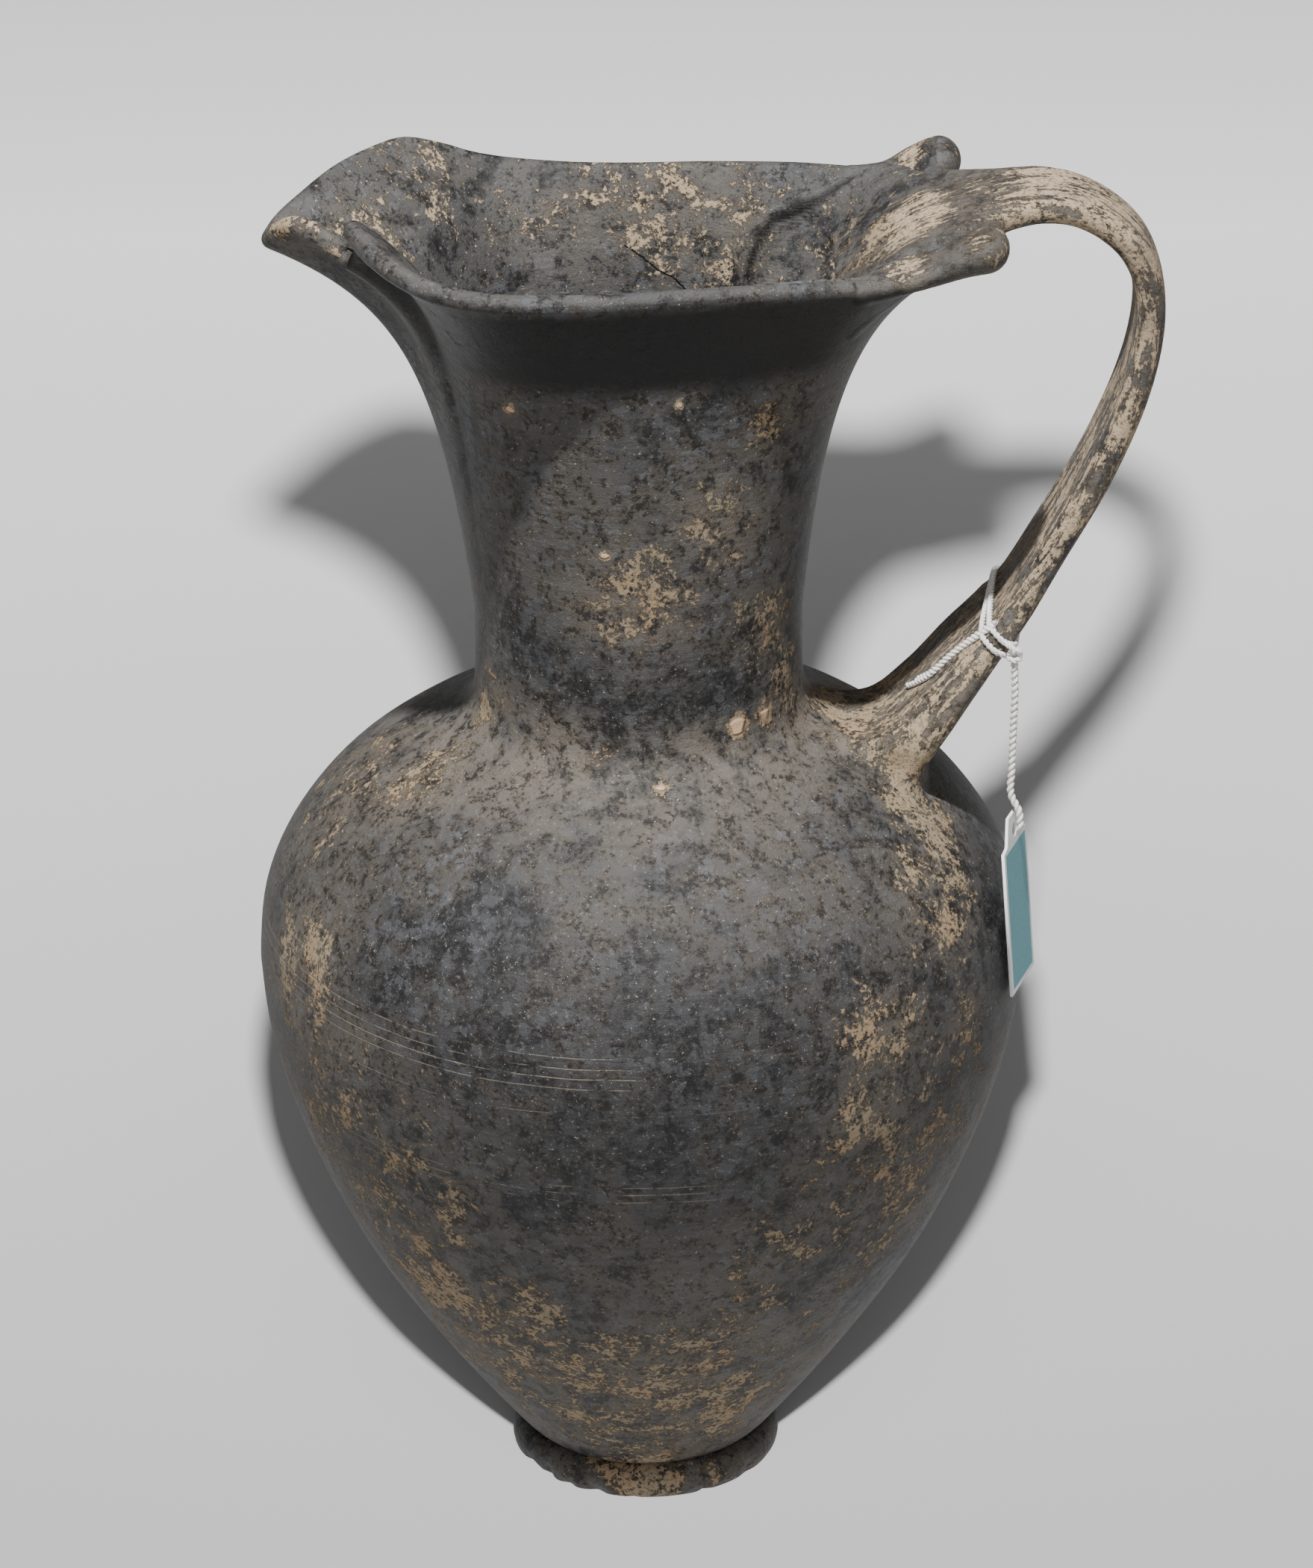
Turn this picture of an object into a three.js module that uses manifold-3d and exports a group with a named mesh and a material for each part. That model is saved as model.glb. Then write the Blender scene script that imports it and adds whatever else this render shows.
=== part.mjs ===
import * as THREE from "three";
import { mergeVertices } from "three/addons/utils/BufferGeometryUtils.js";
import Module from "manifold-3d";

// Wine jug of dark burnished clay with a beaked mouth and a high strap handle.
// Millimetres, +Z up, the handle towards +X and the beak towards -X.
// The jug is built round an axis at X = 0 and is centred on its footprint at the end.

// Driving sizes of the thrown body
const WALL = 5;
const GAP = 0.3;
const FOOT_HEIGHT = 8.6;
const FOOT_RADIUS = 34.3;
const FOOT_BEVEL = 1.7;
const FOOT_RECESS = 22;
const FOOT_JOINT = 30;
const BELLY_RADIUS = 95.4;
const BELLY_HEIGHT = 143;
const SHOULDER_RISE = 71;
const NECK_RADIUS = 40.3;
const NECK_FILLET = 0.4;
const NECK_RISE = 22;
const LIP_RISE = 96;

// Driving sizes of the handle and its ends
const STRAP_WIDTH = 27;
const STRAP_WAIST = 23;
const STRAP_THICK = 7.6;
const STRAP_ROUND = 3;
const LAPPET_WIDTH = 16;
const LAPPET_THICK = 12.6;
const TONGUE_THICK = 3.2;

// Driving sizes of the strung tag
const THREAD = 1.1;
const STRING = 1.9;
const KNOT = 2.1;
const TAG_WIDTH = 19;
const TAG_BODY = 38.5;
const TAG_LENGTH = 46;
const TAB_WIDTH = 13;
const TAB_TOP = 8.6;
const TAG_THICK = 0.8;
const TAG_HOLE = 1.8;
const TAG_HOLE_EDGE = 4.5;
const TAG_TURN = -19;
const TAG_LEAN = 4;
const TAG_SLIDE = 8;
const HITCH_PLACE = 0.785;
const HITCH_SLANT = 0.16;

// How finely round forms are divided
const TURNS = 48;
const MOUTH_TURNS = 80;
const MOUTH_ROWS = 9;
const STRING_ROWS = 14;
const LOOSE_ROWS = 8;

// Heights of the joints, each stacked on the one below it
const SHOULDER_HEIGHT = BELLY_HEIGHT + SHOULDER_RISE;
const NECK_HEIGHT = SHOULDER_HEIGHT + NECK_RISE;
const LIP_HEIGHT = NECK_HEIGHT + LIP_RISE;

// Outer lines between two joints, as [share of the way in radius, share of the way up]
const BELLY_BOWL = [
  [0.083, 0.043], [0.367, 0.23], [0.651, 0.45], [0.853, 0.67], [0.966, 0.855],
];
const SHOULDER_BOWL = [
  [0.029, 0.21], [0.132, 0.401], [0.322, 0.592], [0.565, 0.741], [0.775, 0.831], [0.91, 0.896],
  [0.978, 0.952],
];

// Middle of the lip as [degrees round the neck that it rises from, x, y, rise over the lip height].
// The far side runs smoothly into the beak; the near side is pinched in between beak and lobe.
const LIP_LINE = [
  [0, 72, 0, -1.5], [17, 69, 23, -1], [33, 58.5, 36, -0.1], [47, 42, 41, 0], [66, 20, 45.1, -1.1],
  [92, -4, 48.9, -2.7], [112, -22, 50.8, -2.5], [127, -38.4, 50.4, -0.1], [137, -48, 48, 3.5],
  [145, -56, 43.2, 6.7], [152, -63.3, 35.4, 7.3], [160, -71.2, 25.8, 6.6], [168, -78.5, 14.3, 4.8],
  [175, -84.4, 6, 2.2], [180, -87.2, 0, -0.2], [184, -85.4, -3.7, 2.8], [189, -81.2, -8.3, 6.2],
  [194, -76.3, -12.4, 6], [198, -71.5, -15.6, 3.2], [201.5, -66.3, -17.4, 0.4],
  [204, -64.6, -19.4, 4.4], [206.5, -66.6, -22.6, 10.4], [210, -65.8, -28.4, 11.3],
  [216, -61.6, -36.6, 9.6], [222, -56, -44, 7.9], [230, -48, -50, 5.8], [240, -36, -53.6, 4.2],
  [252, -20, -54.4, 3.7], [270, -2, -52.8, 3.4], [294, 20, -48, 2.8], [313, 42, -42.2, 1.5],
  [327, 58.5, -36.6, 0.4], [343, 69, -23, -1],
];

// Strap stations as [x, share of the way up from shoulder to lip, width, thickness]:
// it starts spread over the back of the lip and ends as a tail on the shoulder
const STRAP_STATIONS = [
  [50, 0.895, 60, 6], [57, 0.953, 60, 6.6], [64, 0.993, 58, 7.2], [70, 1.019, 54, 7.4],
  [76, 1.04, 47, STRAP_THICK], [81.5, 1.054, 39, STRAP_THICK], [87, 1.066, 32, STRAP_THICK],
  [92.5, 1.075, 28, STRAP_THICK], [98.5, 1.078, 26, STRAP_THICK], [105.6, 1.067, 24, STRAP_THICK],
  [113.2, 1.033, STRAP_WAIST, STRAP_THICK], [119.8, 0.975, STRAP_WAIST, STRAP_THICK],
  [123.4, 0.892, STRAP_WAIST, STRAP_THICK], [123.2, 0.78, 24, STRAP_THICK],
  [119.2, 0.644, 26, STRAP_THICK], [111, 0.479, STRAP_WIDTH, STRAP_THICK],
  [100.2, 0.312, 28, STRAP_THICK], [92.1, 0.191, 31, STRAP_THICK], [84.9, 0.11, 36, STRAP_THICK],
  [78.6, 0.034, 39, STRAP_THICK], [73.6, -0.038, 40, 7], [67.6, -0.129, 38, 6], [62, -0.212, 36, 6],
];

// Stations of the web that runs from the strap's inner face to the foot of the neck
const WEB_STATIONS = [
  [85.6, 0.124, 26, 3], [79.4, 0.063, 32, 7], [70, -0.034, 36, 9], [62, -0.097, 37, 9],
  [54, -0.124, 35, 9], [46, -0.124, 31, 9], [38, -0.11, 26, 9],
];

// Lappet stations as [x, y, rise over the lip height, width, thickness], from the lip to the end
const LAPPET_ROOT = [[54, 37.4, -0.4, 6, 4], [62, 35.8, 1.4, 11.5, 6]];
const NEAR_LAPPET = [
  [71, 34, 4.4, 14, 8], [79, 32.4, 7.4, 15.5, 11], [89.6, 31, 9.6, LAPPET_WIDTH, LAPPET_THICK],
];
const FAR_LAPPET = [
  [67, 34.6, 3.6, 14.5, 8.6], [72.5, 32.6, 5.8, 15.5, 11], [80.4, 31.4, 7.4, LAPPET_WIDTH, LAPPET_THICK],
];

// Middle of the knot, the loose ends laid along the strap, and the free string down to the card's hole
const KNOT_PLACE = [91.6, -17.9, 228.4];
const LOOSE_LINE = [
  [86, -16, 234.6], [83.4, -14.4, 233], [80, -12.6, 229.2], [75.6, -11.2, 224.6],
  [70.8, -10, 220.6], [67, -6, 217], [63, -1, 214.2],
];
const STRING_LINE = [
  [91.6, -17.9, KNOT_PLACE[2] - KNOT - GAP], [91.8, -18.8, 219], [91.4, -19.8, 209], [91.1, -21, 199],
  [90.9, -22.4, 193], [92.9, -24, 188.9], [93.2, -24.9, 184.6],
];

function lerp(a, b, t) {
  return a + (b - a) * t;
}

// Points evenly spaced along a smooth line from one joint to the next, each as [radius, height]
function bowlLine([radius, height], bowl, [endRadius, endHeight], count) {
  const line = [[0, 0], ...bowl, [1, 1]].map(([across, up]) => (
    new THREE.Vector2(lerp(radius, endRadius, across), lerp(height, endHeight, up))
  ));
  return new THREE.SplineCurve(line).getSpacedPoints(count);
}

const FOOT_TOP = [FOOT_JOINT, FOOT_HEIGHT];
const BELLY_TOP = [BELLY_RADIUS, BELLY_HEIGHT];
const SHOULDER_TOP = [NECK_RADIUS + NECK_FILLET, SHOULDER_HEIGHT];
const NECK_TOP = [NECK_RADIUS, NECK_HEIGHT];
const shoulderLine = () => bowlLine(BELLY_TOP, SHOULDER_BOWL, SHOULDER_TOP, 10);

// The same outline moved inwards by the wall
function insideOf(points, depth) {
  return points.map((point, i) => {
    const before = points[Math.max(i - 1, 0)];
    const after = points[Math.min(i + 1, points.length - 1)];
    const run = after.clone().sub(before).normalize();
    return new THREE.Vector2(point.x - run.y * depth, point.y + run.x * depth);
  });
}

function turned(profile) {
  const geometry = new THREE.LatheGeometry(profile, TURNS);
  geometry.rotateX(Math.PI / 2);
  return geometry;
}

function turnedRing(points) {
  return turned([...points, points[0].clone()]);
}

// A closed body from rings of points, either capped at both ends or joined end to end
function loft(rings, joined = false) {
  const rows = rings.length;
  const around = rings[0].length;
  const position = rings.flat(2);
  const index = [];
  for (let i = 0; i < (joined ? rows : rows - 1); i += 1) {
    for (let j = 0; j < around; j += 1) {
      const next = (j + 1) % around;
      const above = (i + 1) % rows;
      index.push(i * around + j, above * around + next, above * around + j);
      index.push(i * around + j, i * around + next, above * around + next);
    }
  }
  if (!joined) {
    const last = (rows - 1) * around;
    for (let low = 0, high = around - 1; high - low > 1; low += 1, high -= 1) {
      index.push(low, high, low + 1, last + low, last + low + 1, last + high);
      if (high - low > 2) {
        index.push(low + 1, high, high - 1, last + low + 1, last + high - 1, last + high);
      }
    }
  }
  const geometry = new THREE.BufferGeometry();
  geometry.setAttribute("position", new THREE.Float32BufferAttribute(position, 3));
  geometry.setIndex(index);
  geometry.computeVertexNormals();
  return geometry;
}

// Foot
function footRing() {
  const outline = [
    [FOOT_RECESS, 0], [FOOT_RADIUS - FOOT_BEVEL, 0], [FOOT_RADIUS - 0.5, 0.14 * FOOT_HEIGHT],
    [FOOT_RADIUS, 0.4 * FOOT_HEIGHT], [FOOT_RADIUS - 0.4, 0.67 * FOOT_HEIGHT],
    [FOOT_RADIUS - FOOT_BEVEL, 0.88 * FOOT_HEIGHT], [FOOT_JOINT + 0.6, FOOT_HEIGHT],
    [FOOT_RECESS, FOOT_HEIGHT],
  ];
  return turnedRing(outline.map(([r, z]) => new THREE.Vector2(r, z)));
}

// Belly, closed by its floor
function belly() {
  const outer = bowlLine(FOOT_TOP, BELLY_BOWL, BELLY_TOP, 10);
  const inner = insideOf(outer, WALL).slice(1).reverse();
  inner[0].set(BELLY_RADIUS - WALL, BELLY_HEIGHT);
  const floor = new THREE.Vector2(0, FOOT_HEIGHT + WALL);
  return turned([new THREE.Vector2(0, FOOT_HEIGHT), ...outer, ...inner, floor]);
}

// A wall section between two level joints
function wallSection(outer) {
  const inner = insideOf(outer, WALL).reverse();
  const low = outer[0];
  const top = outer[outer.length - 1];
  inner[0].set(top.x - WALL, top.y);
  inner[inner.length - 1].set(low.x - WALL, low.y);
  return turnedRing([...outer, ...inner]);
}

// Mouth: columns that rise from the round neck and spread to the drawn and pinched lip
const lipPoints = LIP_LINE.map(([, x, y, rise]) => new THREE.Vector3(x, y, LIP_HEIGHT + rise));
const lipCurve = new THREE.CatmullRomCurve3(lipPoints, true);

function lipAt(u) {
  const t = lipCurve.getUtoTmapping(u);
  const place = t * LIP_LINE.length;
  const k = Math.floor(place) % LIP_LINE.length;
  const from = LIP_LINE[k][0];
  const to = k + 1 < LIP_LINE.length ? LIP_LINE[k + 1][0] : 360;
  const angle = THREE.MathUtils.degToRad(lerp(from, to, place % 1));
  return { angle, point: lipCurve.getPoint(t) };
}

// Middle of the wall at share u round the lip and share t up the flare
function flareAt(u, t) {
  const { angle, point } = lipAt(((u % 1) + 1) % 1);
  const beak = Math.max(-Math.cos(angle), 0) ** 2;
  const back = Math.max(Math.cos(angle), 0) ** 2;
  const side = 1 - beak - back;
  const steady = 0.3 - 0.04 * beak - 0.1 * side;
  const curl = 0.38 * beak + 0.22 * back + 0.4 * side;
  const spread = steady * t + (1 - steady - curl) * t ** 3 + curl * t ** 8;
  const radius = NECK_RADIUS - WALL / 2;
  return new THREE.Vector3(
    lerp(radius * Math.cos(angle), point.x, spread),
    lerp(radius * Math.sin(angle), point.y, spread),
    lerp(NECK_HEIGHT, point.z, t),
  );
}

// Directions out of the wall and up along it
function flareFrame(u, t) {
  const step = 0.004;
  const up = flareAt(u, Math.min(t + step, 1)).sub(flareAt(u, Math.max(t - step, 0))).normalize();
  const along = flareAt(u + step, t).sub(flareAt(u - step, t));
  const out = along.cross(up).normalize();
  return { out, up };
}

function flareColumn(u, extra) {
  const half = WALL / 2 + extra;
  const outer = [];
  const inner = [];
  for (let k = 0; k <= MOUTH_ROWS; k += 1) {
    const t = (k / MOUTH_ROWS) ** 0.8;
    const middle = flareAt(u, t);
    const side = flareFrame(u, t).out;
    if (k === 0) {
      side.setZ(0).normalize();
    }
    outer.push(middle.clone().addScaledVector(side, half));
    inner.unshift(middle.clone().addScaledVector(side, -half));
  }
  const { out, up } = flareFrame(u, 1);
  const lip = [0.25, 0.5, 0.75].map((share) => {
    const across = half * Math.cos(share * Math.PI);
    const over = half * Math.sin(share * Math.PI);
    return flareAt(u, 1).addScaledVector(out, across).addScaledVector(up, over);
  });
  return [...outer, ...lip, ...inner].map((p) => p.toArray());
}

function mouth(extra = 0) {
  const columns = [];
  for (let i = 0; i < MOUTH_TURNS; i += 1) {
    columns.push(flareColumn(i / MOUTH_TURNS, extra).reverse());
  }
  return loft(columns, true);
}

// Rounded rectangle across a handle station, its corners on quarter circles
function stationRing([x, z, width, thick], run, extra) {
  const ring = [];
  const corner = Math.min(STRAP_ROUND, thick / 2 - 0.2) + extra;
  const steps = 3;
  const across = [[1, 1], [-1, 1], [-1, -1], [1, -1]];
  across.forEach(([sideY, sideN], quarter) => {
    for (let k = 0; k <= steps; k += 1) {
      const turn = (quarter + k / steps) * (Math.PI / 2);
      const y = sideY * (width / 2 + extra - corner) + corner * Math.cos(turn);
      const n = sideN * (thick / 2 + extra - corner) + corner * Math.sin(turn);
      ring.push([x - run.y * n, y, z + run.x * n]);
    }
  });
  return ring;
}

function stationAt(stations, share) {
  const places = stations.map(([x, up]) => new THREE.Vector2(x, lerp(SHOULDER_HEIGHT, LIP_HEIGHT, up)));
  const middle = new THREE.SplineCurve(places);
  const sections = stations.map(([, , width, thick]) => new THREE.Vector2(width, thick));
  const at = middle.getPoint(share);
  const size = new THREE.SplineCurve(sections).getPoint(share);
  return { station: [at.x, at.y, size.x, size.y], run: middle.getTangent(share) };
}

function handleLoft(stations, steps, extra = 0) {
  const rings = [];
  for (let i = 0; i <= steps; i += 1) {
    const { station, run } = stationAt(stations, i / steps);
    rings.push(stationRing(station, run, extra));
  }
  return loft(rings);
}

// Lappet: the thick rounded end of the lip beside the strap, side = 1 far or -1 near
function lappet(side, stations) {
  const line = [...LAPPET_ROOT, ...stations];
  const places = line.map(([x, y, rise]) => new THREE.Vector3(x, side * y, LIP_HEIGHT + rise));
  const middle = new THREE.CatmullRomCurve3(places);
  const sizes = new THREE.SplineCurve(line.map(([, , , width, thick]) => new THREE.Vector2(width, thick)));
  const steps = 11;
  const capSteps = 4;
  const around = 12;
  const rings = [];
  for (let i = 0; i <= steps; i += 1) {
    const share = i / steps;
    const capShare = Math.max(0, i - (steps - capSteps)) / (capSteps + 0.15);
    const close = Math.sqrt(1 - capShare ** 2);
    const centre = middle.getPoint(share);
    const size = sizes.getPoint(share);
    const ring = [];
    for (let k = 0; k < around; k += 1) {
      const turn = (k / around) * 2 * Math.PI;
      const y = (size.x / 2) * close * Math.cos(turn);
      const z = (size.y / 2) * close * Math.sin(turn);
      ring.push([centre.x, centre.y + y, centre.z + z]);
    }
    rings.push(ring);
  }
  return loft(rings);
}

// Tongue: the spread end of the handle smoothed down the inside of the mouth
function tongue(extra = 0) {
  const rows = 8;
  const columns = 14;
  const seat = -WALL / 2 - GAP + extra;
  const rings = [];
  for (let i = 0; i <= rows; i += 1) {
    const up = i / rows;
    const t = lerp(0.7, 0.97, up);
    const half = lerp(0.15, 0.097, up) * Math.min(1, 0.62 + 2 * up);
    const top = [];
    const under = [];
    for (let k = 0; k <= columns; k += 1) {
      const u = lerp(-half, half, k / columns);
      const { out } = flareFrame(u, t);
      const fromEdge = Math.min(k, columns - k) / columns;
      const edge = Math.min(1, 0.35 + 8 * fromEdge);
      const start = Math.min(1, 0.3 + 4 * up);
      const depth = TONGUE_THICK * (edge * start + 3.75 * fromEdge * up ** 2);
      under.push(flareAt(u, t).addScaledVector(out, seat).toArray());
      top.unshift(flareAt(u, t).addScaledVector(out, seat - depth).toArray());
    }
    rings.push([...under, ...top]);
  }
  return loft(rings);
}

// Card of the tag: it leans on the belly's widest line and hangs by its hole
function tagCard() {
  const outline = [
    [-TAG_WIDTH / 2, 0], [TAG_WIDTH / 2, 0], [TAG_WIDTH / 2, TAG_BODY], [TAB_WIDTH / 2, TAG_BODY],
    [TAB_TOP / 2, TAG_LENGTH], [-TAB_TOP / 2, TAG_LENGTH], [-TAB_WIDTH / 2, TAG_BODY],
    [-TAG_WIDTH / 2, TAG_BODY],
  ];
  const shape = new THREE.Shape(outline.map(([x, y]) => new THREE.Vector2(x, y)));
  const hole = new THREE.Path();
  hole.absarc(0, TAG_LENGTH - TAG_HOLE_EDGE, TAG_HOLE, 0, 2 * Math.PI, true);
  shape.holes.push(hole);
  const solid = { depth: TAG_THICK, bevelEnabled: false, curveSegments: 6 };
  const card = new THREE.ExtrudeGeometry(shape, solid);
  card.rotateX(Math.PI / 2 - THREE.MathUtils.degToRad(TAG_LEAN));
  card.rotateZ(Math.PI / 2);
  card.translate(BELLY_RADIUS + GAP + TAG_THICK, TAG_SLIDE, BELLY_HEIGHT - 0.5);
  card.rotateZ(THREE.MathUtils.degToRad(TAG_TURN));
  return card;
}

function threadAlong(line, diameter, rows) {
  const path = new THREE.CatmullRomCurve3(line.map((point) => new THREE.Vector3(...point)));
  const section = new THREE.Shape();
  section.absarc(0, 0, diameter / 2, 0, 2 * Math.PI);
  return new THREE.ExtrudeGeometry(section, { steps: rows, extrudePath: path, curveSegments: 4 });
}

// One turn of thread laid round the strap
function threadRound() {
  const { station, run } = stationAt(STRAP_STATIONS, HITCH_PLACE);
  const away = GAP + THREAD / 2;
  const path = stationRing(station, run, away);
  const inside = stationRing(station, run, away - 1);
  const along = new THREE.Vector3(run.x, 0, run.y);
  const rings = path.map((point, i) => {
    const out = new THREE.Vector3(...point).sub(new THREE.Vector3(...inside[i])).normalize();
    const centre = new THREE.Vector3(...point).addScaledVector(along, -HITCH_SLANT * point[1]);
    const ring = [];
    for (let k = 0; k < 6; k += 1) {
      const turn = (k / 6) * 2 * Math.PI;
      const round = along.clone().multiplyScalar(Math.cos(turn)).addScaledVector(out, Math.sin(turn));
      ring.push(centre.clone().addScaledVector(round, THREAD / 2).toArray());
    }
    return ring;
  });
  return loft(rings, true);
}

function knot() {
  const ball = new THREE.SphereGeometry(KNOT, 10, 8);
  ball.translate(...KNOT_PLACE);
  return ball;
}

// Solids for cutting one piece to its neighbour
const wasm = await Module();
wasm.setup();

function toSolid(geometry) {
  const bare = new THREE.BufferGeometry();
  bare.setAttribute("position", geometry.getAttribute("position").clone());
  bare.setIndex(geometry.index ? geometry.index.clone() : null);
  const merged = mergeVertices(bare, 1e-4);
  return new wasm.Manifold(new wasm.Mesh({
    numProp: 3,
    vertProperties: new Float32Array(merged.getAttribute("position").array),
    triVerts: new Uint32Array(merged.index.array),
  }));
}

function toGeometry(solid) {
  const mesh = solid.getMesh();
  const geometry = new THREE.BufferGeometry();
  geometry.setAttribute("position", new THREE.BufferAttribute(mesh.vertProperties, 3));
  geometry.setIndex(new THREE.BufferAttribute(mesh.triVerts, 1));
  geometry.computeVertexNormals();
  return geometry;
}

// The largest solid of a cut, because a cut can leave crumbs
function mainPart(solid) {
  return solid.decompose().sort((a, b) => b.volume() - a.volume())[0];
}

// Everything inside the outer skin of shoulder and neck, grown by the joint gap
function bodyCutter() {
  const skin = shoulderLine().map((point) => new THREE.Vector2(point.x + GAP, point.y + GAP));
  const low = new THREE.Vector2(0, BELLY_HEIGHT);
  const edge = new THREE.Vector2(NECK_RADIUS + GAP, NECK_HEIGHT);
  const top = new THREE.Vector2(0, NECK_HEIGHT);
  return toSolid(turned([low, ...skin, edge, top]));
}

function clearOfJug(solid) {
  return mainPart(solid.subtract(toSolid(mouth(GAP))).subtract(bodyCutter()));
}

// Handle in one piece: strap, web and tongue
function wholeHandle(extra = 0) {
  const strap = toSolid(handleLoft(STRAP_STATIONS, 42, extra));
  const web = toSolid(handleLoft(WEB_STATIONS, 12, extra));
  return strap.add(web).add(toSolid(tongue(extra)));
}

const handleCutter = wholeHandle(GAP);

function cutLappet(side, stations) {
  return toGeometry(clearOfJug(toSolid(lappet(side, stations)).subtract(handleCutter)));
}

// Hitch: the turn round the strap, its knot and the loose ends
function hitch() {
  const ends = toSolid(threadAlong(LOOSE_LINE, STRING, LOOSE_ROWS));
  const tied = toSolid(threadRound()).add(toSolid(knot())).add(ends);
  return toGeometry(mainPart(tied.subtract(handleCutter)));
}

function add(group, name, geometry, colour, roughness = 0.6) {
  const material = new THREE.MeshStandardMaterial({ color: colour, roughness, metalness: 0 });
  const mesh = new THREE.Mesh(geometry, material);
  mesh.name = name;
  group.add(mesh);
}

const jug = new THREE.Group();
jug.name = "oinochoe";
add(jug, "foot_ring", footRing(), 0x55504a);
add(jug, "belly", belly(), 0x4a4846);
add(jug, "shoulder", wallSection(shoulderLine()), 0x4e4b48);
add(jug, "neck", wallSection(bowlLine(SHOULDER_TOP, [[1, 0.32]], NECK_TOP, 2)), 0x464442);
add(jug, "mouth", mouth(), 0x4c4a48);
add(jug, "handle_strap", toGeometry(clearOfJug(wholeHandle())), 0x5a544c);
add(jug, "lappet_far", cutLappet(1, FAR_LAPPET), 0x4c4a4a);
add(jug, "lappet_near", cutLappet(-1, NEAR_LAPPET), 0x4c4a4a);
add(jug, "tag_hitch", hitch(), 0xdedbd4, 0.9);
add(jug, "tag_string", threadAlong(STRING_LINE, STRING, STRING_ROWS), 0xdedbd4, 0.9);
add(jug, "tag_card", tagCard(), 0x3f7f88, 0.7);

const footprint = new THREE.Box3().setFromObject(jug);
jug.position.x = -(footprint.min.x + footprint.max.x) / 2;

export default jug;
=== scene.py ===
import math
from functools import partial, reduce

import bpy
import numpy as np
from mathutils import Matrix, Vector
from mathutils.bvhtree import BVHTree
from mathutils.kdtree import KDTree


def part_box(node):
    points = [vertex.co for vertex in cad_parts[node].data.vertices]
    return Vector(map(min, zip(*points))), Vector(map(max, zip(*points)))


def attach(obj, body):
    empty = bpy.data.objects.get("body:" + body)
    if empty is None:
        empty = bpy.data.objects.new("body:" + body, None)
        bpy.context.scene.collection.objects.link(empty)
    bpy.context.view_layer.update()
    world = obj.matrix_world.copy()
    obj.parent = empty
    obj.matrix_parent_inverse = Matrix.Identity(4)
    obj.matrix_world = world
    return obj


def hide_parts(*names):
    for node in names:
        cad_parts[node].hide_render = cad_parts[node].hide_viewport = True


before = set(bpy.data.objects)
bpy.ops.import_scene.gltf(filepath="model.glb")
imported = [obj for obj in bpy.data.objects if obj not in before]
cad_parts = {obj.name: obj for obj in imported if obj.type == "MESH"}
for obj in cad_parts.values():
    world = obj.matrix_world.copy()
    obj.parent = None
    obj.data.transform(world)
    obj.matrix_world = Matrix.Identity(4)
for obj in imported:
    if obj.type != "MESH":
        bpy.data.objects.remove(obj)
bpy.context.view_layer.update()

# Jug of dark burnished clay. Lists are millimetres from the jug's own axis, which stands at AXIS_X
# in the frame. to_metres brings points into the frame and into metres, as each mesh is made.

MM = 0.001
foot_low, foot_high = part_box("foot_ring")
AXIS_X = (foot_low[0] + foot_high[0]) / 2 / MM

WALL = 5.0
FOOT_HEIGHT = 8.6
FOOT_JOINT = 30.0
BELLY_TOP = (95.4, 143.0)
SHOULDER_TOP = (40.7, 214.0)
NECK_TOP = (40.3, 236.0)
LIP_HEIGHT = 332.0

# Diameters of the hitch's thread and of the hanging string
THREAD = 1.1
STRING = 1.9

BELLY_BOWL = [(0.083, 0.043), (0.367, 0.23), (0.651, 0.45), (0.853, 0.67), (0.966, 0.855)]
SHOULDER_BOWL = [(0.029, 0.21), (0.132, 0.401), (0.322, 0.592), (0.565, 0.741), (0.775, 0.831), (0.91, 0.896),
                 (0.978, 0.952)]
FOOT_LINE = [(22, 0), (30.4, 0), (32.4, 0.1), (33.5, 0.9), (34.1, 2.2), (34.3, 3.6), (34.1, 5.0), (33.5, 6.4),
             (32.5, 7.6), (31.2, 8.3), (30.3, 8.5), (22, 8.5)]

# Middle of the lip: degrees round the neck, x, y, rise over the lip height
LIP_LINE = [
    (0, 72, 0, -1.5), (17, 69, 23, -1), (33, 58.5, 36, -0.1), (47, 42, 41, 0), (66, 20, 45.1, -1.1),
    (92, -4, 48.9, -2.7), (112, -22, 50.8, -2.5), (127, -38.4, 50.4, -0.1), (137, -48, 48, 3.5),
    (145, -56, 43.2, 6.7), (152, -63.3, 35.4, 7.3), (160, -71.2, 25.8, 6.6), (168, -78.5, 14.3, 4.8),
    (175, -84.4, 6, 2.2), (180, -87.2, 0, -0.2), (184, -85.4, -3.7, 2.8), (189, -81.2, -8.3, 6.2),
    (194, -76.3, -12.4, 6), (198, -71.5, -15.6, 3.2), (201.5, -66.3, -17.4, 0.4), (204, -64.6, -19.4, 4.4),
    (206.5, -66.6, -22.6, 10.4), (210, -65.8, -28.4, 11.3), (216, -61.6, -36.6, 9.6), (222, -56, -44, 7.9),
    (230, -48, -50, 5.8), (240, -36, -53.6, 4.2), (252, -20, -54.4, 3.7), (270, -2, -52.8, 3.4),
    (294, 20, -48, 2.8), (313, 42, -42.2, 1.5), (327, 58.5, -36.6, 0.4), (343, 69, -23, -1),
]

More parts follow.
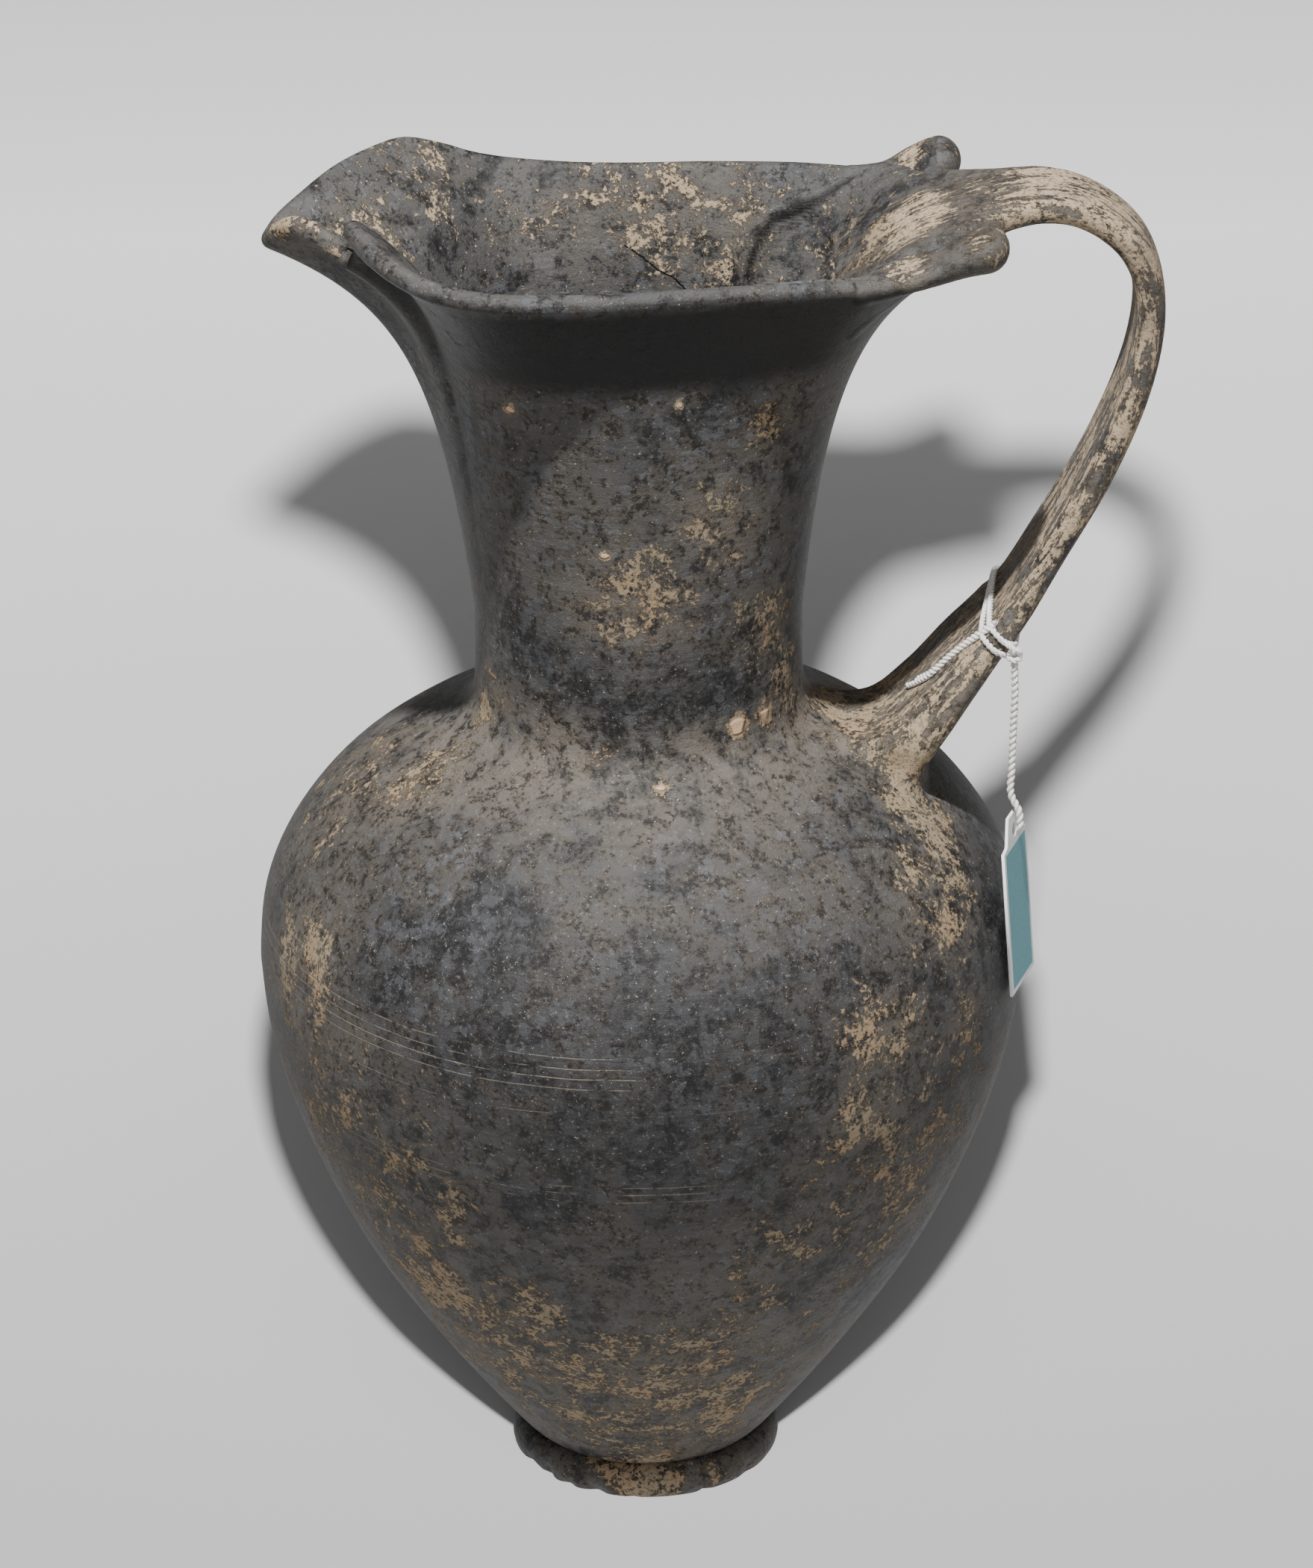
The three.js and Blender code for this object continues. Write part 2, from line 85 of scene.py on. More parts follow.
# Handle: x, share of the way up from shoulder to lip, width, thickness
STRAP = [
    (50, 0.895, 60, 6), (57, 0.953, 60, 6.6), (64, 0.993, 58, 7.2), (70, 1.019, 54, 7.4), (76, 1.04, 47, 7.6),
    (81.5, 1.054, 39, 7.6), (87, 1.066, 32, 7.6), (92.5, 1.075, 28, 7.6), (98.5, 1.078, 26, 7.6),
    (105.6, 1.067, 24, 7.6), (113.2, 1.033, 23, 7.6), (119.8, 0.975, 23, 7.6), (123.4, 0.892, 23, 7.6),
    (123.2, 0.78, 24, 7.6), (119.2, 0.644, 26, 7.6), (111, 0.479, 27, 7.6), (100.2, 0.312, 28, 7.6),
    (92.1, 0.191, 31, 7.6), (84.9, 0.11, 36, 7.6), (78.6, 0.034, 39, 7.6), (73.6, -0.038, 40, 7),
    (67.6, -0.129, 38, 6), (62, -0.212, 36, 6),
]
WEB = [
    (85.6, 0.124, 26, 3), (79.4, 0.063, 32, 7), (70, -0.034, 36, 9), (62, -0.097, 37, 9), (54, -0.124, 35, 9),
    (46, -0.124, 31, 9), (38, -0.11, 26, 9),
]

# Lappets: x, way from the middle plane, rise over the lip height, width, thickness
NEAR_LAPPET = [(54, 36.4, -0.4, 9, 4), (62, 34, 1.6, 15.5, 6.4), (71, 33.6, 4.4, 15, 8),
               (79, 32.4, 7.4, 15.5, 11), (89.6, 31, 9.6, 16, 12.6)]
FAR_LAPPET = [(54, 37.4, -0.4, 6, 4), (62, 35.8, 1.4, 11.5, 6), (67, 34.6, 3.6, 14.5, 8.6),
              (72.5, 32.6, 5.8, 15.5, 11), (80.4, 31.4, 7.4, 16, 12.6)]

# Rolled edge of the plate that the handle's root leaves inside the mouth: x, y, z, radius
RIDGE = [(58, 36.2, 332.6, 2.0), (52, 35.2, 330.6, 2.3), (46, 34.0, 328.2, 2.4), (38.5, 33.8, 325.6, 2.4),
         (33, 34.1, 322.6, 2.4), (29.4, 33.0, 317, 2.3), (27.4, 32.0, 311.6, 1.9), (26.2, 30.6, 305.5, 1.2)]

# String and card of the tag
KNOT_PLACE = (91.6, -17.9, 228.4)
STRING_LINE = [(91.6, -17.9, 226.0), (91.8, -18.8, 219), (91.4, -19.8, 209), (91.1, -21, 199),
               (90.9, -22.4, 193), (92.9, -24, 188.9), (93.2, -24.9, 184.6)]
LOOSE_LINE = [(86.5, -15.4, 235), (83.4, -14.4, 233), (80, -12.6, 229.2), (75.6, -11.2, 224.6),
              (70.8, -10, 220.6), (67, -6, 217), (63, -1, 214.2)]
HITCH_PLACE = 0.785
HITCH_SLANT = 0.16
TAG_WIDTH = 19.0
TAG_BODY = 38.5
TAG_LENGTH = 46.0
TAB_WIDTH = 13.0
TAB_TOP = 8.6
TAG_THICK = 0.8
TAG_HOLE = 1.8
TAG_HOLE_EDGE = 4.5
TAG_TURN = -19.0
TAG_LEAN = 4.0
TAG_SLIDE = 8.0

# Sandy crust of the burial soil: x, y, z, reach, strength
CRUST = [
    (-84, -42, 156, 26, 0.75), (-71, -63, 143, 18, 0.5), (-72, 1, 191, 32, 0.5), (-79, -13, 183, 24, 0.4),
    (-53, -54, 75, 26, 0.8), (-30, -70, 77, 18, 0.75), (-48, -76, 112, 12, 0.65), (-1, -52, 37, 14, 0.7),
    (14, -56, 45, 12, 0.6), (58, -74, 155, 18, 0.75), (54, -77, 134, 16, 0.75), (73, -44, 176, 24, 0.7),
    (68, -23, 190, 18, 0.9), (62, -66, 114, 18, 0.7), (36, -78, 100, 20, 0.55), (25, -74, 81, 16, 0.55),
    (53, -58, 82, 16, 0.6), (80, -51, 143, 18, 0.6), (56, -2, 205, 24, 0.85), (70, -19, 203, 18, 0.95),
    (24, -33, 217, 5, 1.3), (31, -27, 217, 4.5, 1.2), (-10, -40, 213, 8, 0.5), (5, -46, 207, 3.5, 1.3),
    (-38, -16, 214, 6, 1.0), (1, -41, 253, 20, 0.7), (19, -37, 272, 16, 0.7), (30, -27, 241, 14, 0.75),
    (32, -33, 296, 10, 0.65), (-30, -38, 303, 2.4, 1.5), (10, -43, 306, 2.0, 1.5), (-8, -41, 266, 2.2, 1.4),
    (-36, -19, 226, 11, 0.5), (35, -19, 225, 12, 0.75), (-1, -33, 6, 15, 1.0), (16, -30, 3, 9, 0.6),
    (-82, -10, 337, 14, 0.5), (70, 40, 185, 30, 0.7), (-20, 85, 150, 34, 0.6), (30, 70, 90, 26, 0.7),
    (-60, 60, 110, 24, 0.6), (10, 38, 250, 18, 0.5), (-30, 60, 190, 26, 0.5), (40, -84, 120, 9, 0.5),
    (-20, 44, 322, 22, 0.28), (10, 42, 326, 24, 0.42), (28, 38, 312, 20, 0.38), (-52, 38, 330, 20, 0.3),
    (0, -50, 45, 60, 0.66), (-62, -52, 112, 50, 0.58), (62, -58, 112, 46, 0.6), (-40, -50, 60, 44, 0.68),
    (64, -4, 335, 22, 0.9), (44, 6, 322, 26, 0.45), (68, 35, 338, 8, 0.8), (66, -36, 336, 9, 0.8),
    (88, -31, 342, 4, 0.8), (-54, -22, 199, 20, 0.6), (-69, -14, 191, 18, 0.6), (-66, 12, 328, 16, 0.5),
    (-30, -70, 205, 4, 0.9),
]


def uniform(points, count):
    """Points at even shares of a smooth line, its ends doubled."""
    p = np.array(points, float)
    place = np.linspace(0, len(p) - 1, count)
    k = np.minimum(place.astype(int), len(p) - 2)
    t = (place - k)[:, None]
    a, b = p[np.maximum(k - 1, 0)], p[k]
    c, d = p[k + 1], p[np.minimum(k + 2, len(p) - 1)]
    bend, twist = 2 * a - 5 * b + 4 * c - d, 3 * b - a - 3 * c + d
    return 0.5 * (2 * b + (c - a) * t + bend * t ** 2 + twist * t ** 3)


def centripetal(points, per_part, closed=False):
    """Points along a smooth line that doesn't overshoot where its points lie close together."""
    p = np.array(points, float)
    n = len(p)
    if closed:
        p = np.vstack([p[-1], p, p[0], p[1]])
        parts = n
    else:
        p = np.vstack([2 * p[0] - p[1], p, 2 * p[-1] - p[-2]])
        parts = n - 1
    out = []
    t = np.linspace(0, 1, per_part, endpoint=False)[:, None]
    for i in range(parts):
        a, b, c, d = p[i:i + 4]
        g, h, j = (np.sqrt(np.linalg.norm(w[:3] - v[:3])) for v, w in ((a, b), (b, c), (c, d)))
        leave = ((b - a) / g - (c - a) / (g + h) + (c - b) / h) * h
        reach = ((c - b) / h - (d - b) / (h + j) + (d - c) / j) * h
        out.append((2 * t ** 3 - 3 * t ** 2 + 1) * b + (t ** 3 - 2 * t ** 2 + t) * leave
                   + (3 * t ** 2 - 2 * t ** 3) * c + (t ** 3 - t ** 2) * reach)
    if not closed:
        out.append(p[-2][None])
    return np.vstack(out)


def evenly(line, count):
    """The same line with points an even way apart."""
    run = np.concatenate([[0], np.cumsum(np.linalg.norm(np.diff(line, axis=0), axis=1))])
    want = np.linspace(0, run[-1], count)
    return np.stack([np.interp(want, run, line[:, k]) for k in range(line.shape[1])], axis=1)


def bowl_line(start, bowl, end, count):
    """Profile from start to end, its points given as shares of the way across and up."""
    (r0, z0), (r1, z1) = start, end
    line = [(r0 + (r1 - r0) * across, z0 + (z1 - z0) * up) for across, up in [(0, 0), *bowl, (1, 1)]]
    return evenly(uniform(line, 400), count)


def ramp(value, low, high):
    """Smooth rise from 0 at low to 1 at high."""
    t = np.clip((value - low) / (high - low), 0, 1)
    return t * t * (3 - 2 * t)


def crust_at(points):
    """How thickly the soil crust lies at each point."""
    total = np.zeros(len(points))
    for x, y, z, reach, strength in CRUST:
        away = np.linalg.norm(points - np.array([x, y, z]), axis=1)
        total = np.maximum(total, strength * (1 - ramp(away, reach * 0.25, reach * 1.25)))
    return total


def to_metres(points):
    """Places in the frame, in metres, of points in millimetres from the jug's axis."""
    return (np.asarray(points, float) + np.array([AXIS_X, 0, 0])) * MM


def in_scene(name, data):
    made = bpy.data.objects.new(name, data)
    bpy.context.scene.collection.objects.link(made)
    return made


def clay_mesh(name, vertices, faces, **fields):
    """Smooth mesh with its own fields, a value or a vector for each point; one left out counts as 0."""
    mesh = bpy.data.meshes.new(name)
    mesh.from_pydata(to_metres(vertices).tolist(), [], faces)
    mesh.polygons.foreach_set("use_smooth", [True] * len(mesh.polygons))
    for field, values in fields.items():
        kind, part = ("FLOAT", "value") if values.ndim == 1 else ("FLOAT_VECTOR", "vector")
        mesh.attributes.new(field, kind, "POINT").data.foreach_set(part, values.ravel())
    mesh.update()
    return in_scene(name, mesh)


def search_tree(points):
    tree = KDTree(len(points))
    for i, point in enumerate(points.tolist()):
        tree.insert(point, i)
    tree.balance()
    return tree


# Mouth: the wall rises from the round neck and spreads to the drawn and pinched lip
LIP_STEPS = 60
lip_fine = centripetal([(x, y, LIP_HEIGHT + rise) for _, x, y, rise in LIP_LINE], LIP_STEPS, closed=True)
lip_run = np.concatenate([[0], np.cumsum(np.linalg.norm(np.roll(lip_fine, -1, axis=0) - lip_fine, axis=1))])
lip_share = lip_run / lip_run[-1]
lip_part = np.linspace(0, len(LIP_LINE), len(lip_share))
lip_angles = np.array([row[0] for row in LIP_LINE] + [360.0])
lip_closed = np.vstack([lip_fine, lip_fine[:1]])

# The flare spreads by an even part, less of it at the beak and the sides, and a last curl at the lip
EVEN, EVEN_LESS_BEAK, EVEN_LESS_SIDE = 0.3, 0.04, 0.1
CURL_BEAK, CURL_BACK, CURL_SIDE = 0.38, 0.22, 0.4
FLARE_STEP = 0.004


def lip_at(u):
    """Angle round the neck and point of the lip, at a share of the way round it."""
    u = np.mod(u, 1)
    part = np.interp(u, lip_share, lip_part)
    angle = np.radians(np.interp(part, np.arange(len(lip_angles)), lip_angles))
    point = np.stack([np.interp(u, lip_share, lip_closed[:, k]) for k in range(3)], axis=-1)
    return angle, point


def flare_at(u, t):
    """Middle of the wall, at shares of the way round and up from the neck to the lip."""
    angle, point = lip_at(u)
    beak = np.maximum(-np.cos(angle), 0) ** 2
    back = np.maximum(np.cos(angle), 0) ** 2
    side = 1 - beak - back
    even = EVEN - EVEN_LESS_BEAK * beak - EVEN_LESS_SIDE * side
    curl = CURL_BEAK * beak + CURL_BACK * back + CURL_SIDE * side
    spread = even * t + (1 - even - curl) * t ** 3 + curl * t ** 8
    radius = NECK_TOP[0] - WALL / 2
    return np.stack([
        radius * np.cos(angle) + (point[..., 0] - radius * np.cos(angle)) * spread,
        radius * np.sin(angle) + (point[..., 1] - radius * np.sin(angle)) * spread,
        NECK_TOP[1] + (point[..., 2] - NECK_TOP[1]) * t,
    ], axis=-1)


def unit(v):
    return v / np.linalg.norm(v, axis=-1, keepdims=True)


def flare_frame(u, t):
    """Directions straight out of the flare and up along it."""
    up = unit(flare_at(u, np.minimum(t + FLARE_STEP, 1)) - flare_at(u, np.maximum(t - FLARE_STEP, 0)))
    along = flare_at(u + FLARE_STEP, t) - flare_at(u - FLARE_STEP, t)
    return unit(np.cross(along, up)), up


# Wall: one skin of rows up the outside, over the lip and down the inside
COLUMNS = 360
SHARES = np.arange(COLUMNS) / COLUMNS
BODY_ROWS = 104
FLARE_ROWS = 46
FLARE_ROWS_INSIDE = 44
LIP_ROWS = 9
CLOSER_AT_LIP = 0.8
LIP_INSIDE = 0.6


def round_row(radius, height):
    angle = lip_at(SHARES)[0]
    return np.stack([radius * np.cos(angle), radius * np.sin(angle), np.full(COLUMNS, height)], axis=1)


def flare_row(share, side):
    """Row of the flare's outside, or of its inside where side is -1."""
    t = np.full(COLUMNS, share ** CLOSER_AT_LIP)
    return flare_at(SHARES, t) + side * flare_frame(SHARES, t)[0] * WALL / 2


def body_profile(count):
    parts = [bowl_line((FOOT_JOINT, FOOT_HEIGHT), BELLY_BOWL, BELLY_TOP, 300),
             bowl_line(BELLY_TOP, SHOULDER_BOWL, SHOULDER_TOP, 300)[1:],
             bowl_line(SHOULDER_TOP, [(1, 0.32)], NECK_TOP, 60)[1:]]
    return evenly(np.vstack(parts), count)


def inner_profile(outer):
    run = unit(np.gradient(outer, axis=0))
    inner = outer + np.stack([-run[:, 1], run[:, 0]], axis=1) * WALL
    inner[-1] = (NECK_TOP[0] - WALL, NECK_TOP[1])
    return inner[inner[:, 1] > FOOT_HEIGHT + WALL]


def wall_rows():
    """All rows of the wall, and the number of the row on top of the lip."""
    outer = body_profile(BODY_ROWS)
    rows = [round_row(r, z) for r, z in outer[:-1]]
    rows += [flare_row(share, 1) for share in np.linspace(0, 1, FLARE_ROWS)]
    top = np.ones(COLUMNS)
    out, up = flare_frame(SHARES, top)
    for turn in np.linspace(0, math.pi, LIP_ROWS + 2)[1:-1]:
        over = out * WALL / 2 * math.cos(turn) + up * WALL / 2 * math.sin(turn)
        rows.append(flare_at(SHARES, top) + over)
    lip_top = len(rows) - (LIP_ROWS + 1) // 2
    rows += [flare_row(share, -1) for share in np.linspace(1, 0, FLARE_ROWS_INSIDE)]
    rows += [round_row(r, z) for r, z in inner_profile(outer)[::-2]]
    return rows, lip_top


def ring_faces(rows, columns, joined=False):
    index = np.arange(rows * columns).reshape(rows, columns)
    if joined:
        index = np.vstack([index, index[:1]])
    right = np.roll(index, -1, axis=1)
    quads = np.stack([index[:-1], right[:-1], right[1:], index[1:]], axis=-1).reshape(-1, 4)
    return quads.tolist()


def make_wall():
    rows, lip_top = wall_rows()
    poles = [[0, 0, FOOT_HEIGHT], [0, 0, FOOT_HEIGHT + WALL]]
    vertices = np.vstack([*rows, poles])
    faces = ring_faces(len(rows), COLUMNS)
    pole = len(rows) * COLUMNS
    last = pole - COLUMNS
    for j in range(COLUMNS):
        k = (j + 1) % COLUMNS
        faces.append((k, j, pole))
        faces.append((last + j, last + k, pole + 1))
    inside = np.zeros(len(vertices))
    inside[(lip_top + 2) * COLUMNS:] = 1
    inside[(lip_top - 1) * COLUMNS:(lip_top + 2) * COLUMNS] = LIP_INSIDE
    inside[pole] = 0
    piece = clay_mesh("jug_wall", vertices, faces, crust=crust_at(vertices), inside=inside)
    return piece, vertices, faces, inside


# Foot: turned ring, chipped at its rim. Chips: degrees round it, reach in degrees, depth, height
FOOT_TURNS = 240
FOOT_ROWS = 44
CHIPS = [(-151, 5, 2.2, 0.6), (-140, 4, 1.8, 2.0), (-127, 3, 1.0, 0.8), (-113, 4, 1.6, 0.8),
         (-96, 2, 0.6, 1.6), (-64, 2.5, 0.9, 1.0), (-40, 4, 0.8, 2.4), (35, 6, 1.4, 0.8), (120, 4, 1.1, 1.2)]
CHIP_RISE = 2.4
UNEVEN = 0.25
CHIPPED_FROM, CHIPPED_TO = 24, 31


def make_foot():
    angle = np.linspace(0, 2 * math.pi, FOOT_TURNS, endpoint=False)
    rows = []
    for r, z in evenly(np.array(FOOT_LINE, float), FOOT_ROWS):
        worn = UNEVEN * (1 + np.sin(3 * angle + 1)) / 2
        for where, wide, deep, high in CHIPS:
            off = (np.degrees(angle) - where + 180) % 360 - 180
            worn += deep * np.exp(-(off / wide) ** 2) * math.exp(-((z - high) / CHIP_RISE) ** 2)
        radius = r - worn * ramp(np.array(r), CHIPPED_FROM, CHIPPED_TO)
        row = [radius * np.cos(angle), radius * np.sin(angle), np.full(FOOT_TURNS, z)]
        rows.append(np.stack(row, axis=1))
    vertices = np.vstack(rows)
    faces = ring_faces(len(rows), FOOT_TURNS, joined=True)
    return clay_mesh("foot", vertices, faces, crust=crust_at(vertices))


# Handle: strap, web, plate and lappets grown into each other and into the wall on a fine grid
CELL = 0.85
GRID_LOW = np.array([16.0, -46.0, 188.0])
GRID_HIGH = np.array([129.0, 46.0, 349.0])
GRID = [np.arange(low, high, CELL) for low, high in zip(GRID_LOW, GRID_HIGH)]

# Corner radius of strap and web, how much the strap thins to its sides, width of the soft joins
STRAP_CORNER, STRAP_CROWN, WEB_CORNER = 3.4, 0.16, 4.0
WEB_SOFT, RIDGE_SOFT, PLATE_SOFT = 5.0, 1.5, 3.0
NEAR_SOFT, FAR_SOFT, LAPPET_ROOT_SOFT = 1.4, 4.0, 4.5
LAPPET_ROOT = (66, 76)

# The handle runs into the wall softly, more so on the shoulder than at the mouth, which starts higher
SHOULDER_END = 262
SHOULDER_SOFT, SHOULDER_REACH = 7.0, 10.0
MOUTH_SOFT, MOUTH_REACH = 3.2, 5.0
SKIN_LIFT = 0.22

# Plate inside the mouth: start and rise up the flare, half widths, rises in millimetres
PLATE_FOOT, PLATE_RUN, PLATE_EDGE_FOOT = 0.7, 0.27, 0.69
PLATE_HALF_FOOT, PLATE_HALF_TOP = 0.15, 0.097
PLATE_RISE, PLATE_HOLLOW, PLATE_LIP = 2.2, 0.9, 3.2
PLATE_DEPTH = 1.6
MM_ROUND, MM_UP = 420, 110
PLATE_ROUND, PLATE_UP = np.linspace(-0.19, 0.19, 420), np.linspace(0.66, 1.0, 200)
PLATE_LOW, PLATE_SIDE, PLATE_OUT = 292, 44, 76

# Distances that stand for nowhere near, how far from the handle the wall is looked for, and how far out
OFF_PLATE, FAR_OFF, SEARCHED = 9.0, 30.0, 9
WALL_REACH = 112

# Looks on the handle's skin, in millimetres: how far off the wall its inside look fades, how far off the
# handle its own look fades, and where along the strap soil and streaks come in and go out
WALL_LOOK, OWN_LOOK = (2.5, 9), (0.8, 5.5)
STRAP_SOIL = [(22, 60, 0.50), (5, 26, 0.22)]
CREST_SOIL, CREST_START, CREST_END = 0.14, (30, 48), (80, 105)
CRUST_MOST = 0.95
STREAKS, STREAKS_START, STREAKS_END = 0.5, (6, 24), (22, 6)
# Painted shadow beside the rolled ridge, on its side into the mouth: way off the ridge's surface, width, the
# x where it ends, and the way into the mouth
SEAM_SHADOW_OFF, SEAM_SHADOW_WIDE, SEAM_SHADOW_END = 0.5, 0.55, (48, 60)
INTO_MOUTH = np.array([0.8, -0.6, 0])


def height_at(share):
    return SHOULDER_TOP[1] + (LIP_HEIGHT - SHOULDER_TOP[1]) * share


def stations(rows, count):
    fine = uniform(rows, count)
    fine[:, 1] = height_at(fine[:, 1])
    return fine


def beside(line, x, z):
    """For points of the middle plane: nearest station, way off the line and way past its ends."""
    run = unit(np.gradient(line[:, :2], axis=0))
    nearest = np.empty(len(x), int)
    lot = 4000
    for start in range(0, len(x), lot):
        part = slice(start, start + lot)
        away = (x[part, None] - line[None, :, 0]) ** 2 + (z[part, None] - line[None, :, 1]) ** 2
        nearest[part] = away.argmin(axis=1)
    dx, dz = x - line[nearest, 0], z - line[nearest, 1]
    rx, rz = run[nearest, 0], run[nearest, 1]
    off = -dx * rz + dz * rx
    past = np.abs(dx * rx + dz * rz)
    return nearest, off, past


def join(a, b, soft):
    """The nearer of two distances, rounded where they are alike."""
    share = np.clip(0.5 + 0.5 * (b - a) / soft, 0, 1)
    return b * (1 - share) + a * share - soft * share * (1 - share)


def strap_field(rows, count, corner, crown):
    """Distance from a flat band that follows its stations."""
    line = stations(rows, count)
    gx, gz = np.meshgrid(GRID[0], GRID[2], indexing="ij")
    nearest, off, past = beside(line, gx.ravel(), gz.ravel())
    shape = gx.shape
    off, past = off.reshape(shape)[:, None, :], past.reshape(shape)[:, None, :]
    wide = line[nearest, 2].reshape(shape)[:, None, :] / 2
    thick = line[nearest, 3].reshape(shape)[:, None, :] / 2
    y = np.abs(GRID[1])[None, :, None]
    slim = thick * (1 - crown * np.minimum(y / wide, 1.2) ** 2)
    edge = np.minimum(corner, slim * 0.96)
    across = y - wide + edge
    out = np.abs(off) - slim + edge
    field = np.hypot(np.maximum(across, 0), np.maximum(out, 0))
    field = field + np.minimum(np.maximum(across, out), 0) - edge
    ends = ((nearest == 0) | (nearest == len(line) - 1)).reshape(shape)[:, None, :]
    return np.where(ends, np.maximum(field, np.broadcast_to(past, field.shape) - 0.3), field)


def grid_round(line, margin):
    """The part of the grid round a line: its slices, its points and its shape."""
    cut = tuple(slice(max(int((a - g) / CELL), 0), max(int((b - g) / CELL), 0) + 1)
                for a, b, g in zip(line.min(axis=0) - margin, line.max(axis=0) + margin, GRID_LOW))
    part = np.meshgrid(*(axis[k] for axis, k in zip(GRID, cut)), indexing="ij")
    return cut, np.stack([g.ravel() for g in part], axis=1), part[0].shape


def lappet_field(rows, side):
    """Distance from a bar of oval section with a round end, on its own part of the grid."""
    line = uniform([(x, side * y, LIP_HEIGHT + rise, w, t) for x, y, rise, w, t in rows], 60)
    cut, points, shape = grid_round(line[:, :3], 12)
    last = line[-1]
    line = line[line[:, 0] < last[0] - last[4] / 2]
    away = ((points[:, None, :] - line[None, :, :3]) ** 2).sum(axis=2)
    nearest = away.argmin(axis=1)
    step = points - line[nearest, :3]
    half_y, half_z = line[nearest, 3] / 2, line[nearest, 4] / 2
    reach = np.sqrt((step[:, 1] / half_y) ** 2 + (step[:, 2] / half_z) ** 2
                    + np.maximum(step[:, 0], 0) ** 2 / half_z ** 2 + np.minimum(step[:, 0], 0) ** 2 / 4)
    field = (reach - 1) * np.minimum(half_y, half_z)
    return cut, field.reshape(shape)


def ridge_field():
    """Distance from the plate's rolled edge, on its own part of the grid."""
    line = uniform(RIDGE, 90)
    cut, points, shape = grid_round(line[:, :3], 8)
    away = np.linalg.norm(points[:, None, :] - line[None, :, :3], axis=2) - line[None, :, 3]
    return cut, away.min(axis=1).reshape(shape)


def wall_distance(tree, points):
    """Signed way from the wall's skin, negative in the clay."""
    out = np.empty(len(points))
    for i, point in enumerate(points.tolist()):
        place, normal, _, away = tree.find_nearest(point)
        outward = (point[0] - place[0]) * normal[0] + (point[1] - place[1]) * normal[1]
        outward += (point[2] - place[2]) * normal[2]
        out[i] = away if outward > 0 else -away
    return out


def plate_height(u, t, far_edge):
    """Rise of the plate that is smeared down the inside of the mouth, its edge a little uneven."""
    up = (t - PLATE_FOOT) / PLATE_RUN
    half = PLATE_HALF_FOOT + (PLATE_HALF_TOP - PLATE_HALF_FOOT) * up
    half = half * np.minimum(1, 0.62 + 2 * np.maximum(up, 0))
    half = half * (1 + 0.03 * np.sin(40 * t) + 0.02 * np.sin(93 * t))
    edge = np.where(u > 0, far_edge - u, half + u) * MM_ROUND
    edge = np.minimum(edge, (t - PLATE_EDGE_FOOT) * MM_UP)
    rise = PLATE_RISE * ramp(edge, -0.3, 2.2) - PLATE_HOLLOW * ramp(edge, 2.5, 9)
    return rise + PLATE_LIP * ramp(t, 0.88, 1.0) * ramp(edge, 2, 12)


def plate_field(points, from_wall):
    """Distance from the plate's face, for points close to the inside of the back of the mouth."""
    u, t = np.meshgrid(PLATE_ROUND, PLATE_UP, indexing="ij")
    u, t = u.ravel(), t.ravel()
    skin = flare_at(u, t) - flare_frame(u, t)[0] * WALL / 2
    tree = search_tree(skin)
    nearest = np.array([tree.find(point)[1] for point in points.tolist()])
    away = np.linalg.norm(points - skin[nearest], axis=1)
    rail = np.array([tree.find(point[:3])[1] for point in RIDGE])[::-1]
    far_edge = np.interp(t[nearest], t[rail], u[rail])
    rise = plate_height(u[nearest], t[nearest], far_edge)
    return np.where(away < np.abs(from_wall) + 1.0, from_wall, OFF_PLATE) - rise


def grow_handle(wall_vertices, wall_faces):
    """Distance from the handle as it lies in the wall, and from the handle by itself."""
    strap = strap_field(STRAP, 500, STRAP_CORNER, STRAP_CROWN)
    field = join(strap, strap_field(WEB, 160, WEB_CORNER, 0.0), WEB_SOFT)
    for rows, side, soft in ((NEAR_LAPPET, -1, NEAR_SOFT), (FAR_LAPPET, 1, FAR_SOFT)):
        cut, lappet = lappet_field(rows, side)
        out = ramp(GRID[0][cut[0]], *LAPPET_ROOT)[:, None, None]
        field[cut] = join(field[cut], lappet, LAPPET_ROOT_SOFT + (soft - LAPPET_ROOT_SOFT) * out)
    cut, ridge = ridge_field()
    field[cut] = join(field[cut], ridge, RIDGE_SOFT)
    gx, gy, gz = np.meshgrid(*GRID, indexing="ij")
    points = np.stack([gx, gy, gz], axis=-1)
    inner_back = (gz > PLATE_LOW) & (np.abs(gy) < PLATE_SIDE) & (gx < PLATE_OUT)
    close = ((field < SEARCHED) | inner_back) & (gx ** 2 + gy ** 2 < WALL_REACH ** 2)
    tree = BVHTree.FromPolygons([tuple(v) for v in wall_vertices.tolist()], wall_faces)
    from_wall = np.full(field.shape, FAR_OFF)
    from_wall[close] = wall_distance(tree, points[close])
    back = inner_back & (from_wall < SEARCHED) & (from_wall > -3)
    plate = np.full(field.shape, FAR_OFF)
    plate[back] = plate_field(points[back], from_wall[back])
    under_strap = (gx > 50) & (gz < 300 + 0.5 * (gx - 50))
    plate[under_strap] = FAR_OFF
    plate = np.maximum(plate, -PLATE_DEPTH - from_wall)
    alone = join(field, plate, PLATE_SOFT)
    low = gz < SHOULDER_END
    blended = join(alone, from_wall + SKIN_LIFT, np.where(low, SHOULDER_SOFT, MOUTH_SOFT))
    skin = np.maximum(blended, alone - np.where(low, SHOULDER_REACH, MOUTH_REACH))
    return np.where(from_wall < FAR_OFF - 1, skin, alone), alone


